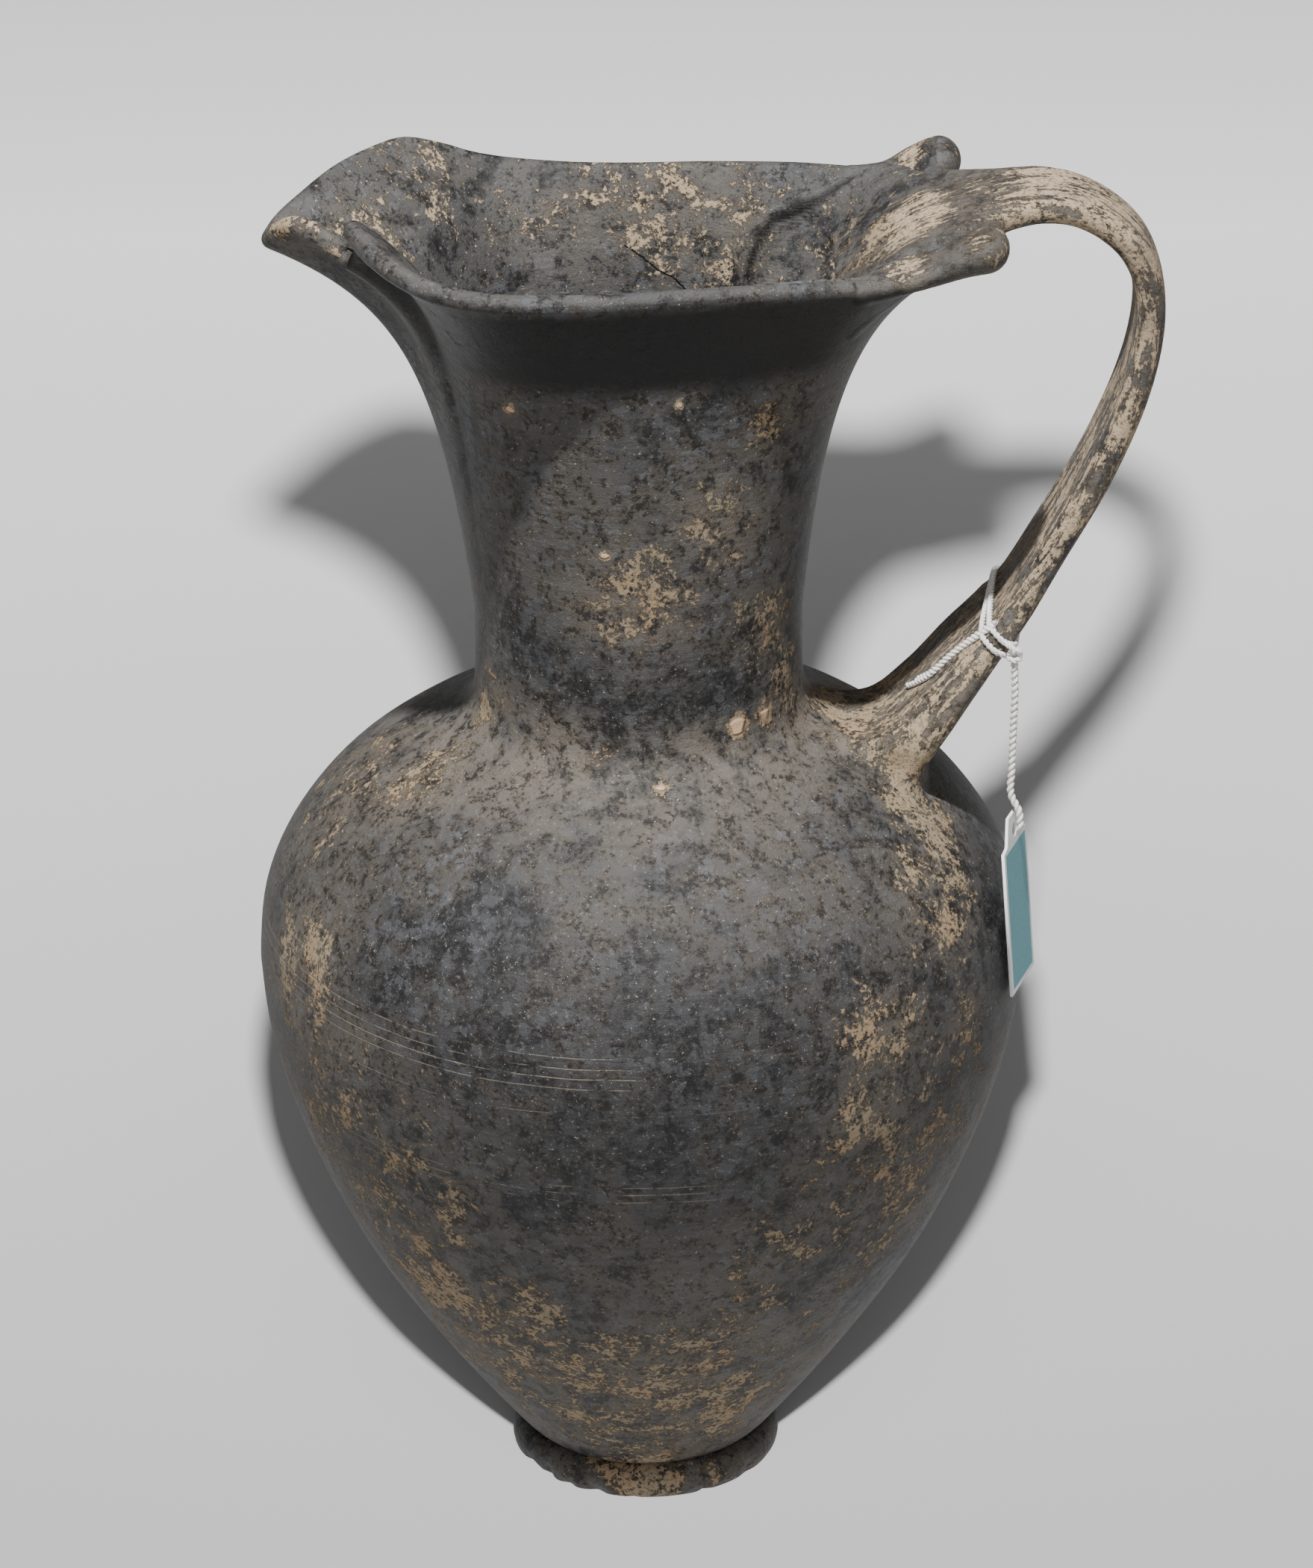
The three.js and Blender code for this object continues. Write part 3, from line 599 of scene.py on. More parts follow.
def net_surface(field):
    """Mesh of the zero skin of a field on the grid, one point in each cell that the skin crosses."""
    inside = field < 0
    size = np.array(field.shape) - 1
    total = np.zeros((size.prod(), 3))
    count = np.zeros(size.prod())
    quads = []
    for axis in range(3):
        side_a, side_b = (axis + 1) % 3, (axis + 2) % 3
        low = [slice(None)] * 3
        high = [slice(None)] * 3
        low[axis] = slice(None, -1)
        high[axis] = slice(1, None)
        first, second = inside[tuple(low)], inside[tuple(high)]
        at = np.argwhere(first != second)
        for side in (side_a, side_b):
            at = at[(at[:, side] > 0) & (at[:, side] < size[side])]
        step = np.zeros(3, int)
        step[axis] = 1
        a, b = field[tuple(at.T)], field[tuple((at + step).T)]
        place = at.astype(float)
        place[:, axis] += a / (a - b)
        corners = []
        for back_a, back_b in ((1, 1), (0, 1), (0, 0), (1, 0)):
            cell = at.copy()
            cell[:, side_a] -= back_a
            cell[:, side_b] -= back_b
            number = np.ravel_multi_index(tuple(cell.T), tuple(size))
            corners.append(number)
            for k in range(3):
                total[:, k] += np.bincount(number, weights=place[:, k], minlength=len(total))
            count += np.bincount(number, minlength=len(count))
        quad = np.stack(corners, axis=1)
        outward = inside[tuple(at.T)]
        quads.append(np.where(outward[:, None], quad, quad[:, ::-1]))
    quads = np.vstack(quads)
    used = np.unique(quads)
    number = np.full(len(total), -1)
    number[used] = np.arange(len(used))
    vertices = total[used] / count[used][:, None] * CELL + GRID_LOW
    return vertices, number[quads]


def read_field(field, points):
    """Field at any points of the grid."""
    place = (points - GRID_LOW) / CELL
    base = np.clip(place.astype(int), 0, np.array(field.shape) - 2)
    share = place - base
    value = 0
    for corner in np.ndindex(2, 2, 2):
        weight = np.prod(np.where(np.array(corner) == 1, share, 1 - share), axis=1)
        value = value + weight * field[tuple((base + corner).T)]
    return value


def laid_on(field, line, away):
    """The same line pulled to lie on the handle's skin."""
    line = np.array(line, float)
    for _ in range(8):
        rises = [read_field(field, line + step) - read_field(field, line - step) for step in np.eye(3) * CELL]
        slope = np.stack(rises, axis=1) / (2 * CELL)
        steep = np.maximum(np.linalg.norm(slope, axis=1, keepdims=True), 0.3)
        line = line - (read_field(field, line) - away)[:, None] * slope / steep ** 2 * 0.8
    return line


def make_handle(field, alone, wall_vertices, wall_inside):
    vertices, quads = net_surface(field)
    line = stations(STRAP, 700)
    nearest, off, _ = beside(line, vertices[:, 0], vertices[:, 2])
    length = np.concatenate([[0], np.cumsum(np.linalg.norm(np.diff(line[:, :2], axis=0), axis=1))])
    place = length[nearest]
    along = np.stack([place, vertices[:, 1], off], axis=1)

    tree = search_tree(wall_vertices)
    found = [tree.find(point)[1:] for point in vertices.tolist()]
    off_wall = np.array([away for _, away in found])
    inside = wall_inside[[i for i, _ in found]] * (1 - ramp(off_wall, *WALL_LOOK))

    own = 1 - ramp(read_field(alone, vertices), *OWN_LOOK)
    soil = sum(share * ramp(place, start, full) for start, full, share in STRAP_SOIL)
    soil = soil + CREST_SOIL * ramp(place, *CREST_START) * (1 - ramp(place, *CREST_END))
    crust = np.maximum(np.minimum(crust_at(vertices), CRUST_MOST), soil * own)
    ending = 1 - ramp(place, *(length[-1] - np.array(STREAKS_END)))
    drawn_out = STREAKS * own * ramp(place, *STREAKS_START) * ending

    # Painted shadow along the rolled ridge, on its side into the mouth; the same mask cuts a groove in the
    # relief
    ridge = uniform(RIDGE, 200)
    beside_ridge = np.array([np.linalg.norm(ridge[:, :3] - point, axis=1).argmin() for point in vertices])
    step = vertices - ridge[beside_ridge, :3]
    off_seam_shadow = np.linalg.norm(step, axis=1) - ridge[beside_ridge, 3] - SEAM_SHADOW_OFF
    seam = np.exp(-(off_seam_shadow / SEAM_SHADOW_WIDE) ** 2) * ramp(step @ INTO_MOUTH, 0, 1)
    seam = seam * (1 - ramp(vertices[:, 0], *SEAM_SHADOW_END))
    return clay_mesh("handle", vertices, quads.tolist(), crust=crust, inside=inside, along=along,
                     drawn_out=drawn_out, seam=seam)


# Nodes: sums on sockets are plain Python sums, any other node comes from add_node
class Socket:
    """A node's value that takes part in plain sums."""

    def __init__(self, socket):
        self.socket = socket

    def _sum(self, operation, first, second=0.0):
        settings, values = {"operation": operation}, {0: first, 1: second}
        return Socket(add_node(self.socket.id_data, "ShaderNodeMath", settings, values).outputs[0])

    def __add__(self, other):
        return self._sum("ADD", self, other)

    __radd__ = __add__

    def __sub__(self, other):
        return self._sum("SUBTRACT", self, other)

    def __rsub__(self, other):
        return self._sum("SUBTRACT", other, self)

    def __mul__(self, other):
        return self._sum("MULTIPLY", self, other)

    __rmul__ = __mul__

    def __truediv__(self, other):
        return self._sum("DIVIDE", self, other)

    def __pow__(self, other):
        return self._sum("POWER", self, other)

    def most(self, other):
        return self._sum("MAXIMUM", self, other)

    def least(self, other):
        return self._sum("MINIMUM", self, other)

    def size(self):
        return self._sum("ABSOLUTE", self)

    def sine(self):
        return self._sum("SINE", self)

    def cosine(self):
        return self._sum("COSINE", self)


def feed(place, value):
    """Sets an input to a value, or links it to a socket."""
    value = getattr(value, "socket", value)
    if isinstance(value, bpy.types.NodeSocket):
        value.id_data.links.new(value, place)
    else:
        place.default_value = value


def add_node(tree, kind, settings=None, numbered=None, **named):
    """Node with its settings, then its inputs by number or by name."""
    made = tree.nodes.new(kind)
    for key, value in (settings or {}).items():
        setattr(made, key, value)
    for key, value in {**(numbered or {}), **named}.items():
        feed(made.inputs[key.replace("_", " ") if isinstance(key, str) else key], value)
    return made


def add_vector(tree, operation, first, second=None, scale=None, output="Vector"):
    values = {0: first}
    if second is not None:
        values[1] = second
    if scale is not None:
        values["Scale"] = scale
    return add_node(tree, "ShaderNodeVectorMath", {"operation": operation}, values).outputs[output]


class Finish:
    """One material and its nodes; places are millimetres from the jug's axis."""

    def __init__(self, name):
        self.material = bpy.data.materials.new(name)
        self.material.use_nodes = True
        tree = self.material.node_tree
        self.node = partial(add_node, tree)
        self.vector = partial(add_vector, tree)
        self.shader = tree.nodes["Principled BSDF"]
        metres = self.node("ShaderNodeTexCoord").outputs["Object"]
        self.place = self.vector("SUBTRACT", self.vector("SCALE", metres, scale=1 / MM), (AXIS_X, 0, 0))

    def attribute(self, name, output="Fac"):
        return Socket(self.node("ShaderNodeAttribute", {"attribute_name": name}).outputs[output])

    def noise(self, scale, detail=4.0, rough=0.6, warp=0.0, place=None):
        made = self.node("ShaderNodeTexNoise", Vector=place or self.place, Scale=scale, Detail=detail,
                         Roughness=rough, Distortion=warp)
        return Socket(made.outputs["Fac"])

    def ragged(self, scale, push):
        """Places pushed about by noise, which frays whatever is drawn on them."""
        cloud = self.node("ShaderNodeTexNoise", Vector=self.place, Scale=scale, Detail=4.0).outputs["Color"]
        return self.vector("ADD", self.place, self.vector("SCALE", cloud, scale=push))

    def step(self, value, low, high):
        """Smooth rise from 0 at low to 1 at high, or a fall where low is the greater."""
        made = self.node("ShaderNodeMapRange", {"interpolation_type": "SMOOTHSTEP"}, Value=value,
                         From_Min=low, From_Max=high)
        return Socket(made.outputs["Result"])

    def mix(self, amount, first, second):
        first, second = [(*c, 1.0) if isinstance(c, tuple) else c for c in (first, second)]
        made = self.node("ShaderNodeMix", {"data_type": "RGBA"}, {0: amount, 6: first, 7: second})
        return Socket(made.outputs[2])

    def apart(self, place):
        parts = self.node("ShaderNodeSeparateXYZ", Vector=place)
        return [Socket(parts.outputs[k]) for k in range(3)]

    def set(self, **named):
        for key, value in named.items():
            feed(self.shader.inputs[key.replace("_", " ")], value)

    def relief(self, height, strength, deep):
        made = self.node("ShaderNodeBump", Height=height, Strength=strength, Distance=deep * MM)
        self.set(Normal=made.outputs["Normal"])


# Clay: colours, from the burnished skin out to the soil on it
BLACK = (0.017, 0.0165, 0.017)
# Near black of the sooty pits, and of the painted shade under the front of the lip
PIT_AND_SHADE_BLACK = (0.009, 0.0085, 0.0085)
BROWN = (0.060, 0.051, 0.042)
GREY = (0.056, 0.057, 0.060)
SLATE = (0.082, 0.085, 0.092)
INNER = (0.058, 0.056, 0.054)
DUST = (0.165, 0.140, 0.110)
CHALK = (0.20, 0.18, 0.155)
SAND = (0.265, 0.208, 0.138)
TAN = (0.295, 0.210, 0.125)
CREAM = (0.43, 0.335, 0.225)
DAMP = (0.10, 0.082, 0.062)
LUMP = (0.50, 0.34, 0.215)
FLECK = (0.44, 0.40, 0.34)
SCRATCH = (0.30, 0.25, 0.185)
# Near black of the crack, and of the painted shadow beside the rolled ridge
CRACK_AND_SHADOW_BLACK = (0.008, 0.007, 0.007)

# Layers of noise: waves per millimetre, detail, roughness, warp, shift of its place
LAYERS = {
    "broad": (0.018, 3, 0.5, 0, None), "patch": (0.062, 7, 0.64, 0.5, None),
    "grain": (2.3, 3, 0.7, 0, None), "mottle": (0.24, 6, 0.70, 0.4, (41, 7, 19)),
    "fine": (0.85, 5, 0.72, 0, (8, 31, 64)),
    "flaked": (0.03, 3, 0.5, 0, (90, 20, 50)), "breakup": (0.11, 9, 0.80, 0.5, (13, 57, 5)),
    "soil": (0.07, 4, 0.6, 0, (3, 3, 77)), "specks": (1.25, 3, 0.62, 0, (70, 2, 11)),
    "wander": (0.02, 2, 0.5, 0, (70, 70, 0)), "kept": (0.08, 5, 0.65, 0, (5, 90, 33)),
}

# Marks: where each sets in, where it is full, its strength. Heights and ways across are millimetres
MARKS = {
    "brown": (0.42, 0.57, 1), "grey": (0.44, 0.60, 0.8), "inner": (0.38, 0.52, 1),
    "wheel": (0.52, 0.68, 0.35), "scale": (0.60, 0.64, 1), "scale_edge": (0.62, 0.50, 1),
    "flaked": (0.42, 0.56, 0.7),
    "settled_above": (190, 211, 1), "settled_below": (226, 216, 0.46), "film": (0.44, 0.62, 0.10),
    "film_patch": (0.42, 0.58, 0.75), "darker_belly_above": (98, 130, 1), "darker_belly_below": (192, 168, 0.34),
    "pits": (0.485, 0.42, 1), "chalk": (0.565, 0.63, 0.5), "sand": (0.59, 0.625, 1),
    "bright": (0.55, 1.05, 0.85), "tan": (0.40, 0.62, 1), "damp": (0.51, 0.43, 0.75),
    "lumps": (1.02, 1.22, 1), "specks": (0.68, 0.72, 0.7),
    "line": (0.26, 0.08, 1), "line_across": (46, -10, 1), "line_front": (20, -20, 0.85),
    "line_handle": (60, 80, 0.5), "line_kept": (0.48, 0.57, 1), "lip_shade_above": (309, 316, 1),
    "lip_shade_front": (0, -30, 1), "lip_edge": (331, 334.5, 0.72), "crack": (0.42, 0.16, 1),
}

# Share of each coat in the relief and in the roughness
RELIEF = {"mottle": 0.3, "fine": 0.35, "grain": 0.2, "sand": 0.5, "wheel": 0.25, "lumps": 0.9, "scales": 0.15,
          "lines": -0.5, "cracks_and_seam_shadow": -1.6}
ROUGH = {"sand": 0.34, "lumps": 0.3, "mottle": 0.3, "film": 0.2, "lip_shade": -0.1}
ROUGH_BASE = 0.41
GLOSS = 0.22
RELIEF_STRENGTH, RELIEF_DEPTH = 0.9, 0.8

# Lines cut round the belly: height, strength. Crack inside the far wall: x, y, z
INCISED = [(117.8, 0.7), (120.2, 0.8), (122.4, 0.6), (143.0, 0.35), (149.8, 0.6), (152.4, 0.8), (154.9, 0.7),
           (157.6, 0.6)]
LINE_WANDER = 3.0
CRACK = [(-2.5, 40.6, 313), (1.7, 39.7, 310.4), (6.2, 38.6, 307.4), (10.8, 37.2, 304.4), (15, 36.0, 300)]
CRACK_PUSH = 2.4
WHEEL_STRETCH = (0.16, 0.16, 2.2)
DRAWN_STRETCH = (0.25, 1.6, 1.0)


class Clay(Finish):
    """Burnished clay in coats: each coat takes the colour below it and gives its own."""

    def __init__(self, name):
        super().__init__(name)
        self.crust = self.attribute("crust")
        self.inside = self.attribute("inside")
        self.drawn_out = self.attribute("drawn_out")
        self.x, self.y, self.z = self.apart(self.place)
        self.patch = self.layer("patch")
        self.broad = self.layer("broad")
        self.mottle = self.layer("mottle")
        self.fine = self.layer("fine")
        self.grain = self.layer("grain")
        self.wheel = self.noise(0.3, 4, 0.6, place=self.vector("MULTIPLY", self.place, WHEEL_STRETCH))

    def layer(self, name):
        scale, detail, rough, warp, shift = LAYERS[name]
        place = self.vector("ADD", self.place, shift) if shift else None
        return self.noise(scale, detail, rough, warp, place)

    def mark(self, name, value):
        start, full, strength = MARKS[name]
        shade = self.step(value, start, full)
        return shade if strength == 1 else shade * strength

    def burnished(self):
        """Black, brown and grey clay, paler inside, with flaked scales and wheel marks."""
        colour = self.mix(self.mark("brown", self.broad * 0.4 + self.patch * 0.6), BLACK, BROWN)
        colour = self.mix(self.mark("grey", self.mottle), colour, GREY)
        colour = self.mix(self.inside * self.mark("inner", self.patch), colour, INNER)
        cells = self.node("ShaderNodeTexVoronoi", Vector=self.ragged(0.45, 4.0), Scale=0.27).outputs
        scales = self.mark("scale", self.apart(cells["Color"])[0])
        scales = scales * self.mark("scale_edge", cells["Distance"])
        self.scales = scales * (0.3 + self.mark("flaked", self.layer("flaked")))
        colour = self.mix(self.scales * 0.55, colour, SLATE)
        return self.mix(self.mark("wheel", self.wheel) * (1 - self.inside * 0.5), colour, BLACK)

    def dusted(self, colour):
        """Film of dust, thickest on the top of the shoulder, and the belly between two heights darkened
        towards black, less where the crust lies.
        """
        settled = self.mark("settled_above", self.z) * self.mark("settled_below", self.z)
        film = (self.crust * 0.55 + self.mark("film", self.broad) + settled).least(0.85)
        self.film = film * (0.25 + self.mark("film_patch", self.patch * 0.5 + self.mottle * 0.5))
        colour = self.mix(self.film, colour, DUST)
        darker_belly = self.mark("darker_belly_above", self.z) * self.mark("darker_belly_below", self.z)
        return self.mix(darker_belly * (1 - self.crust).most(0.0), colour, BLACK)

    def pitted(self, colour):
        """Sooty pits, fewer where the soil is drawn out, and pale grains."""
        pits = self.mark("pits", self.mottle * 0.5 + self.fine * 0.5)
        colour = self.mix(pits * (0.8 - self.drawn_out * 0.7), colour, PIT_AND_SHADE_BLACK)
        return self.mix(self.mark("chalk", self.fine * 0.7 + self.grain * 0.3), colour, CHALK)

    def soiled(self, colour):
        """Soil crust, drawn out in streaks along the strap, with lumps and specks."""
        breakup = self.layer("breakup") * 0.55 + self.mottle * 0.15 + self.fine * 0.3
        streaks = self.vector("MULTIPLY", self.attribute("along", "Vector"), DRAWN_STRETCH)
        breakup = breakup + (self.noise(0.36, 8, 0.76, 0.3, place=streaks) - breakup) * self.drawn_out
        self.sand = self.mark("sand", breakup + self.crust * 0.15 + self.inside * 0.03)
        soil = self.mix(self.mark("tan", self.layer("soil")), SAND, TAN)
        bright = self.mark("bright", self.crust * 0.6 + self.drawn_out)
        soil = self.mix((self.inside * 0.6).most(bright), soil, CREAM)
        soil = self.mix(self.mark("damp", self.fine * 0.6 + self.grain * 0.4), soil, DAMP)
        colour = self.mix(self.sand * 0.85, colour, soil)
        self.lumps = self.mark("lumps", self.crust)
        colour = self.mix(self.lumps, colour, LUMP)
        return self.mix(self.mark("specks", self.layer("specks")), colour, FLECK)

    def scratched(self, colour):
        """Lines cut round the belly, seen on its front and beside the handle where they are kept."""
        height = self.z + (self.layer("wander") - 0.5) * LINE_WANDER
        shades = [self.mark("line", (height - line).size()) * depth for line, depth in INCISED]
        seen = self.mark("line_across", self.x) * self.mark("line_front", self.y)
        seen = (seen + self.mark("line_handle", self.x)).least(1.0)
        kept = self.mark("line_kept", self.layer("kept") - self.x * 0.0012)
        self.lines = reduce(Socket.most, shades) * seen * kept
        return self.mix(self.lines * 0.55, colour, SCRATCH)

    def shaded_under_lip(self, colour):
        """Painted shade under the front of the lip: the lip's shadow from a steep light, darkened into the
        colour; less on the lip's own edge.
        """
        # Painted shadow below the lip, on the front side only
        lip_shade = self.mark("lip_shade_above", self.z + self.mottle * 6) * self.mark("lip_shade_front", self.y)
        self.lip_shade = lip_shade * (1 - self.inside)
        return self.mix(self.lip_shade * (0.92 - self.mark("lip_edge", self.z)), colour, PIT_AND_SHADE_BLACK)

    def split(self, colour):
        """Fine crack down the inside of the far wall, and painted shadow along the groove beside the rolled
        ridge.
        """
        place = self.ragged(0.35, CRACK_PUSH)
        middle = Vector((CRACK_PUSH / 2,) * 3)
        shades = [self.attribute("seam") * 0.85]
        for start, end in zip(CRACK[:-1], CRACK[1:]):
            way = Vector(end) - Vector(start)
            off = self.vector("SUBTRACT", place, tuple(Vector(start) + middle))
            ahead = self.vector("DOT_PRODUCT", off, tuple(way / way.length_squared), output="Value")
            share = self.node("ShaderNodeClamp", Value=ahead).outputs[0]
            foot = self.vector("SCALE", tuple(way), scale=share)
            shades.append(self.mark("crack", self.vector("DISTANCE", off, foot, output="Value")))
        self.cracks_and_seam_shadow = reduce(Socket.most, shades)
        return self.mix(self.cracks_and_seam_shadow, colour, CRACK_AND_SHADOW_BLACK)


def clay(name):
    """Burnished clay, its flaked skin, soil crust, wheel marks and cut lines."""
    made = Clay(name)
    colour = made.burnished()
    for coat in (made.dusted, made.pitted, made.soiled, made.scratched, made.shaded_under_lip, made.split):
        colour = coat(colour)
    height = sum(getattr(made, coat) * share for coat, share in RELIEF.items())
    rough = sum(getattr(made, coat) * share for coat, share in ROUGH.items()) + ROUGH_BASE
    made.set(Base_Color=colour, Roughness=rough.least(1.0), Specular_IOR_Level=GLOSS)
    made.relief(height, RELIEF_STRENGTH, RELIEF_DEPTH)
    return made.material


# Tag: cotton, card and its panel
COTTON_SHADE, COTTON_WHITE = (0.48, 0.46, 0.43), (0.84, 0.83, 0.80)
PAPER_SHADE, PAPER_WHITE = (0.70, 0.70, 0.70), (0.78, 0.78, 0.78)
TEAL_SHADE, TEAL = (0.085, 0.285, 0.325), (0.105, 0.325, 0.365)
PANEL_MARGIN = 1.3
PANEL_SOFT = 0.004


def cotton():
    made = Finish("white_cotton")
    fibre = made.noise(4.0, 4, 0.7)
    made.set(Base_Color=made.mix(made.step(fibre, 0.35, 0.6), COTTON_SHADE, COTTON_WHITE), Roughness=0.95)
    made.relief(fibre, 0.5, 0.25)
    return made.material


def card_paper():
    """White card with a plain panel; the map's one unit is the card's length."""
    made = Finish("tag_card")
    across, up, _ = made.apart(made.node("ShaderNodeUVMap").outputs["UV"])
    border = PANEL_MARGIN / TAG_LENGTH
    half = (TAG_WIDTH / 2 - PANEL_MARGIN) / TAG_LENGTH
    top = TAG_BODY / TAG_LENGTH - border + 2 * PANEL_SOFT
    panel = made.step((across - 0.5).size(), half + PANEL_SOFT, half - PANEL_SOFT)
    panel = panel * made.step(up, border - PANEL_SOFT, border + PANEL_SOFT)
    panel = panel * made.step(up, top + PANEL_SOFT, top - PANEL_SOFT)
    ink = made.step(made.noise(0.9, 4, 0.6), 0.3, 0.7)
    teal = made.mix(ink, TEAL_SHADE, TEAL)
    paper = made.mix(ink, PAPER_SHADE, PAPER_WHITE)
    made.set(Base_Color=made.mix(panel, paper, teal), Roughness=0.62)
    made.relief(made.noise(3.0, 3, 0.6), 0.25, 0.06)
    return made.material


# Thread: strands twisted round a path. Radii are shares of the thread's diameter
TWIST_SHARE, STRAND_SHARE = 0.24, 0.28
THREAD_STEP = 0.00045
STRAND_SIDES = 7
STRING_TURN, HITCH_TURN = 3.4, 2.8
HITCH_THREAD = THREAD * 1.45


def thread_tree(material):
    tree = bpy.data.node_groups.new("twisted_thread", "GeometryNodeTree")
    tree.interface.new_socket("Path", in_out="INPUT", socket_type="NodeSocketGeometry")
    for name, value in (("Turn length", 0.004), ("Twist radius", 0.0003), ("Strand radius", 0.0003)):
        socket = tree.interface.new_socket(name, in_out="INPUT", socket_type="NodeSocketFloat")
        socket.default_value = value
    tree.interface.new_socket("Thread", in_out="OUTPUT", socket_type="NodeSocketGeometry")
    node = partial(add_node, tree)
    vector = partial(add_vector, tree)
    start = node("NodeGroupInput").outputs
    fine = node("GeometryNodeResampleCurve", {"mode": "LENGTH"}, Curve=start["Path"], Length=THREAD_STEP)
    profile = node("GeometryNodeCurvePrimitiveCircle", Resolution=STRAND_SIDES, Radius=start["Strand radius"])
    length = Socket(node("GeometryNodeSplineParameter").outputs["Length"])
    normal = node("GeometryNodeInputNormal").outputs["Normal"]
    side = vector("CROSS_PRODUCT", node("GeometryNodeInputTangent").outputs["Tangent"], normal)
    last = node("GeometryNodeJoinGeometry")
    for phase in (0.0, math.pi):
        turn = length / start["Turn length"] * (2 * math.pi) + phase
        over = vector("SCALE", normal, scale=turn.cosine() * start["Twist radius"])
        across = vector("SCALE", side, scale=turn.sine() * start["Twist radius"])
        moved = node("GeometryNodeSetPosition", Geometry=fine.outputs["Curve"],
                     Offset=vector("ADD", over, across))
        strand = node("GeometryNodeCurveToMesh", Curve=moved.outputs["Geometry"],
                      Profile_Curve=profile.outputs["Curve"], Fill_Caps=True)
        feed(last.inputs["Geometry"], strand.outputs["Mesh"])
    for kind in ("GeometryNodeSetShadeSmooth", "GeometryNodeRealizeInstances", "GeometryNodeSetMaterial"):
        last = node(kind, Geometry=last.outputs["Geometry"])
    last.inputs["Material"].default_value = material
    feed(node("NodeGroupOutput").inputs["Thread"], last.outputs["Geometry"])
    return tree


def plain_mesh(name, holder):
    """The holder's finished shape as a plain mesh; the holder itself is removed."""
    mesh = bpy.data.meshes.new_from_object(holder.evaluated_get(bpy.context.evaluated_depsgraph_get()))
    bpy.data.objects.remove(holder)
    mesh.name = name
    return mesh


def twisted(name, lines, tree, diameter, turn_length):
    """Plain mesh of thread along lines in millimetres from the jug's axis."""
    curve = bpy.data.curves.new(name, "CURVE")
    curve.dimensions = "3D"
    for line in lines:
        points = to_metres(line)
        spline = curve.splines.new("POLY")
        spline.points.add(len(points) - 1)
        spline.points.foreach_set("co", np.hstack([points, np.ones((len(points), 1))]).ravel())
    holder = in_scene(name + "_path", curve)
    modifier = holder.modifiers.new("thread", "NODES")
    modifier.node_group = tree
    sizes = {"Turn length": turn_length * MM, "Twist radius": diameter * TWIST_SHARE * MM,
             "Strand radius": diameter * STRAND_SHARE * MM}
    for item in tree.interface.items_tree:
        if item.item_type == "SOCKET" and item.in_out == "INPUT" and item.name in sizes:
            modifier[item.identifier] = sizes[item.name]
    return in_scene(name, plain_mesh(name, holder))


# Hitch: turns round the strap, coils of the knot and the loose ends
STRAP_STEPS = 2000
SECOND_TURN = (1.5, HITCH_SLANT + 0.1)
KNOT_RADIUS = 1.25
KNOT_TURNS = 1.15


def strap_turns(field):
    """Two turns of thread round the strap, laid on its skin."""
    line = uniform(STRAP, STRAP_STEPS + 1)
    at, after = line[int(HITCH_PLACE * STRAP_STEPS)], line[int(HITCH_PLACE * STRAP_STEPS) + 4]
    x, z = at[0], height_at(at[1])
    run = unit(np.array([after[0] - at[0], (after[1] - at[1]) * (LIP_HEIGHT - SHOULDER_TOP[1])]))
    turns = []
    for slip, slant in ((0.0, HITCH_SLANT), SECOND_TURN):
        turn = np.linspace(-0.5 * math.pi, 1.5 * math.pi, 72)
        y = np.sin(turn) * at[2] / 2
        off = np.cos(turn) * at[3] / 2
        back = slip - slant * y
        ring = np.stack([x - run[1] * off + run[0] * back, y, z + run[0] * off + run[1] * back], axis=1)
        turns.append(laid_on(field, ring, THREAD / 2 + 0.05))
    return turns


def hitch_lines(field):
    """Two turns round the strap, the knot and the loose ends."""
    lines = strap_turns(field)
    knot = np.array(KNOT_PLACE)
    near = lines[0][:1]
    for shift in (-0.5, 0.6):
        way = np.vstack([near, near * 0.5 + knot * 0.5 + [0.6, -0.8 + shift, 0.6], knot + [0, shift, 0.6]])
        lines.append(evenly(centripetal(way, 12), 24))
    turn = np.linspace(0, 2 * math.pi * KNOT_TURNS, 30)
    for k in range(3):
        tilt = 0.5 + 0.9 * k
        coil = np.stack([np.cos(turn), np.sin(turn) * math.cos(tilt), np.sin(turn) * math.sin(tilt)], axis=1)
        lines.append(KNOT_RADIUS * coil + knot + [0, 0, 0.5 * (k - 1)])
    for shift, keep in ((0.0, 60), (1.5, 54)):
        loose = evenly(centripetal(LOOSE_LINE, 12), 64)[:keep]
        lines.append(laid_on(field, loose + [0.3 * shift, 0.3 * shift, shift * 0.7], THREAD / 2 + 0.1))
    return lines


# Card: flat outline with a hole, its edge barely rounded, hung against the belly
CARD_EDGE = 0.12
CARD_GAP = 0.3
CARD_DROP = 0.5
TAB_STEP = 0.6


def card_outline():
    """Outline and hole of the card as a thick flat curve."""
    half, tab, top = TAG_WIDTH / 2, TAB_WIDTH / 2, TAB_TOP / 2
    outline = [(-half, 0), (half, 0), (half, TAG_BODY), (tab, TAG_BODY + TAB_STEP), (top, TAG_LENGTH),
               (-top, TAG_LENGTH), (-tab, TAG_BODY + TAB_STEP), (-half, TAG_BODY)]
    turn = np.linspace(0, 2 * math.pi, 24, endpoint=False)
    hole = [(TAG_HOLE * math.cos(a), TAG_LENGTH - TAG_HOLE_EDGE + TAG_HOLE * math.sin(a)) for a in turn]
    curve = bpy.data.curves.new("card_outline", "CURVE")
    curve.dimensions = "2D"
    curve.fill_mode = "BOTH"
    curve.extrude = TAG_THICK / 2 - CARD_EDGE
    curve.bevel_depth = CARD_EDGE
    curve.bevel_resolution = 1
    curve.offset = -CARD_EDGE
    for points in (outline, hole):
        spline = curve.splines.new("POLY")
        spline.points.add(len(points) - 1)
        for place, (x, y) in zip(spline.points, points):
            place.co = (x, y, 0, 1)
        spline.use_cyclic_u = True
    return curve


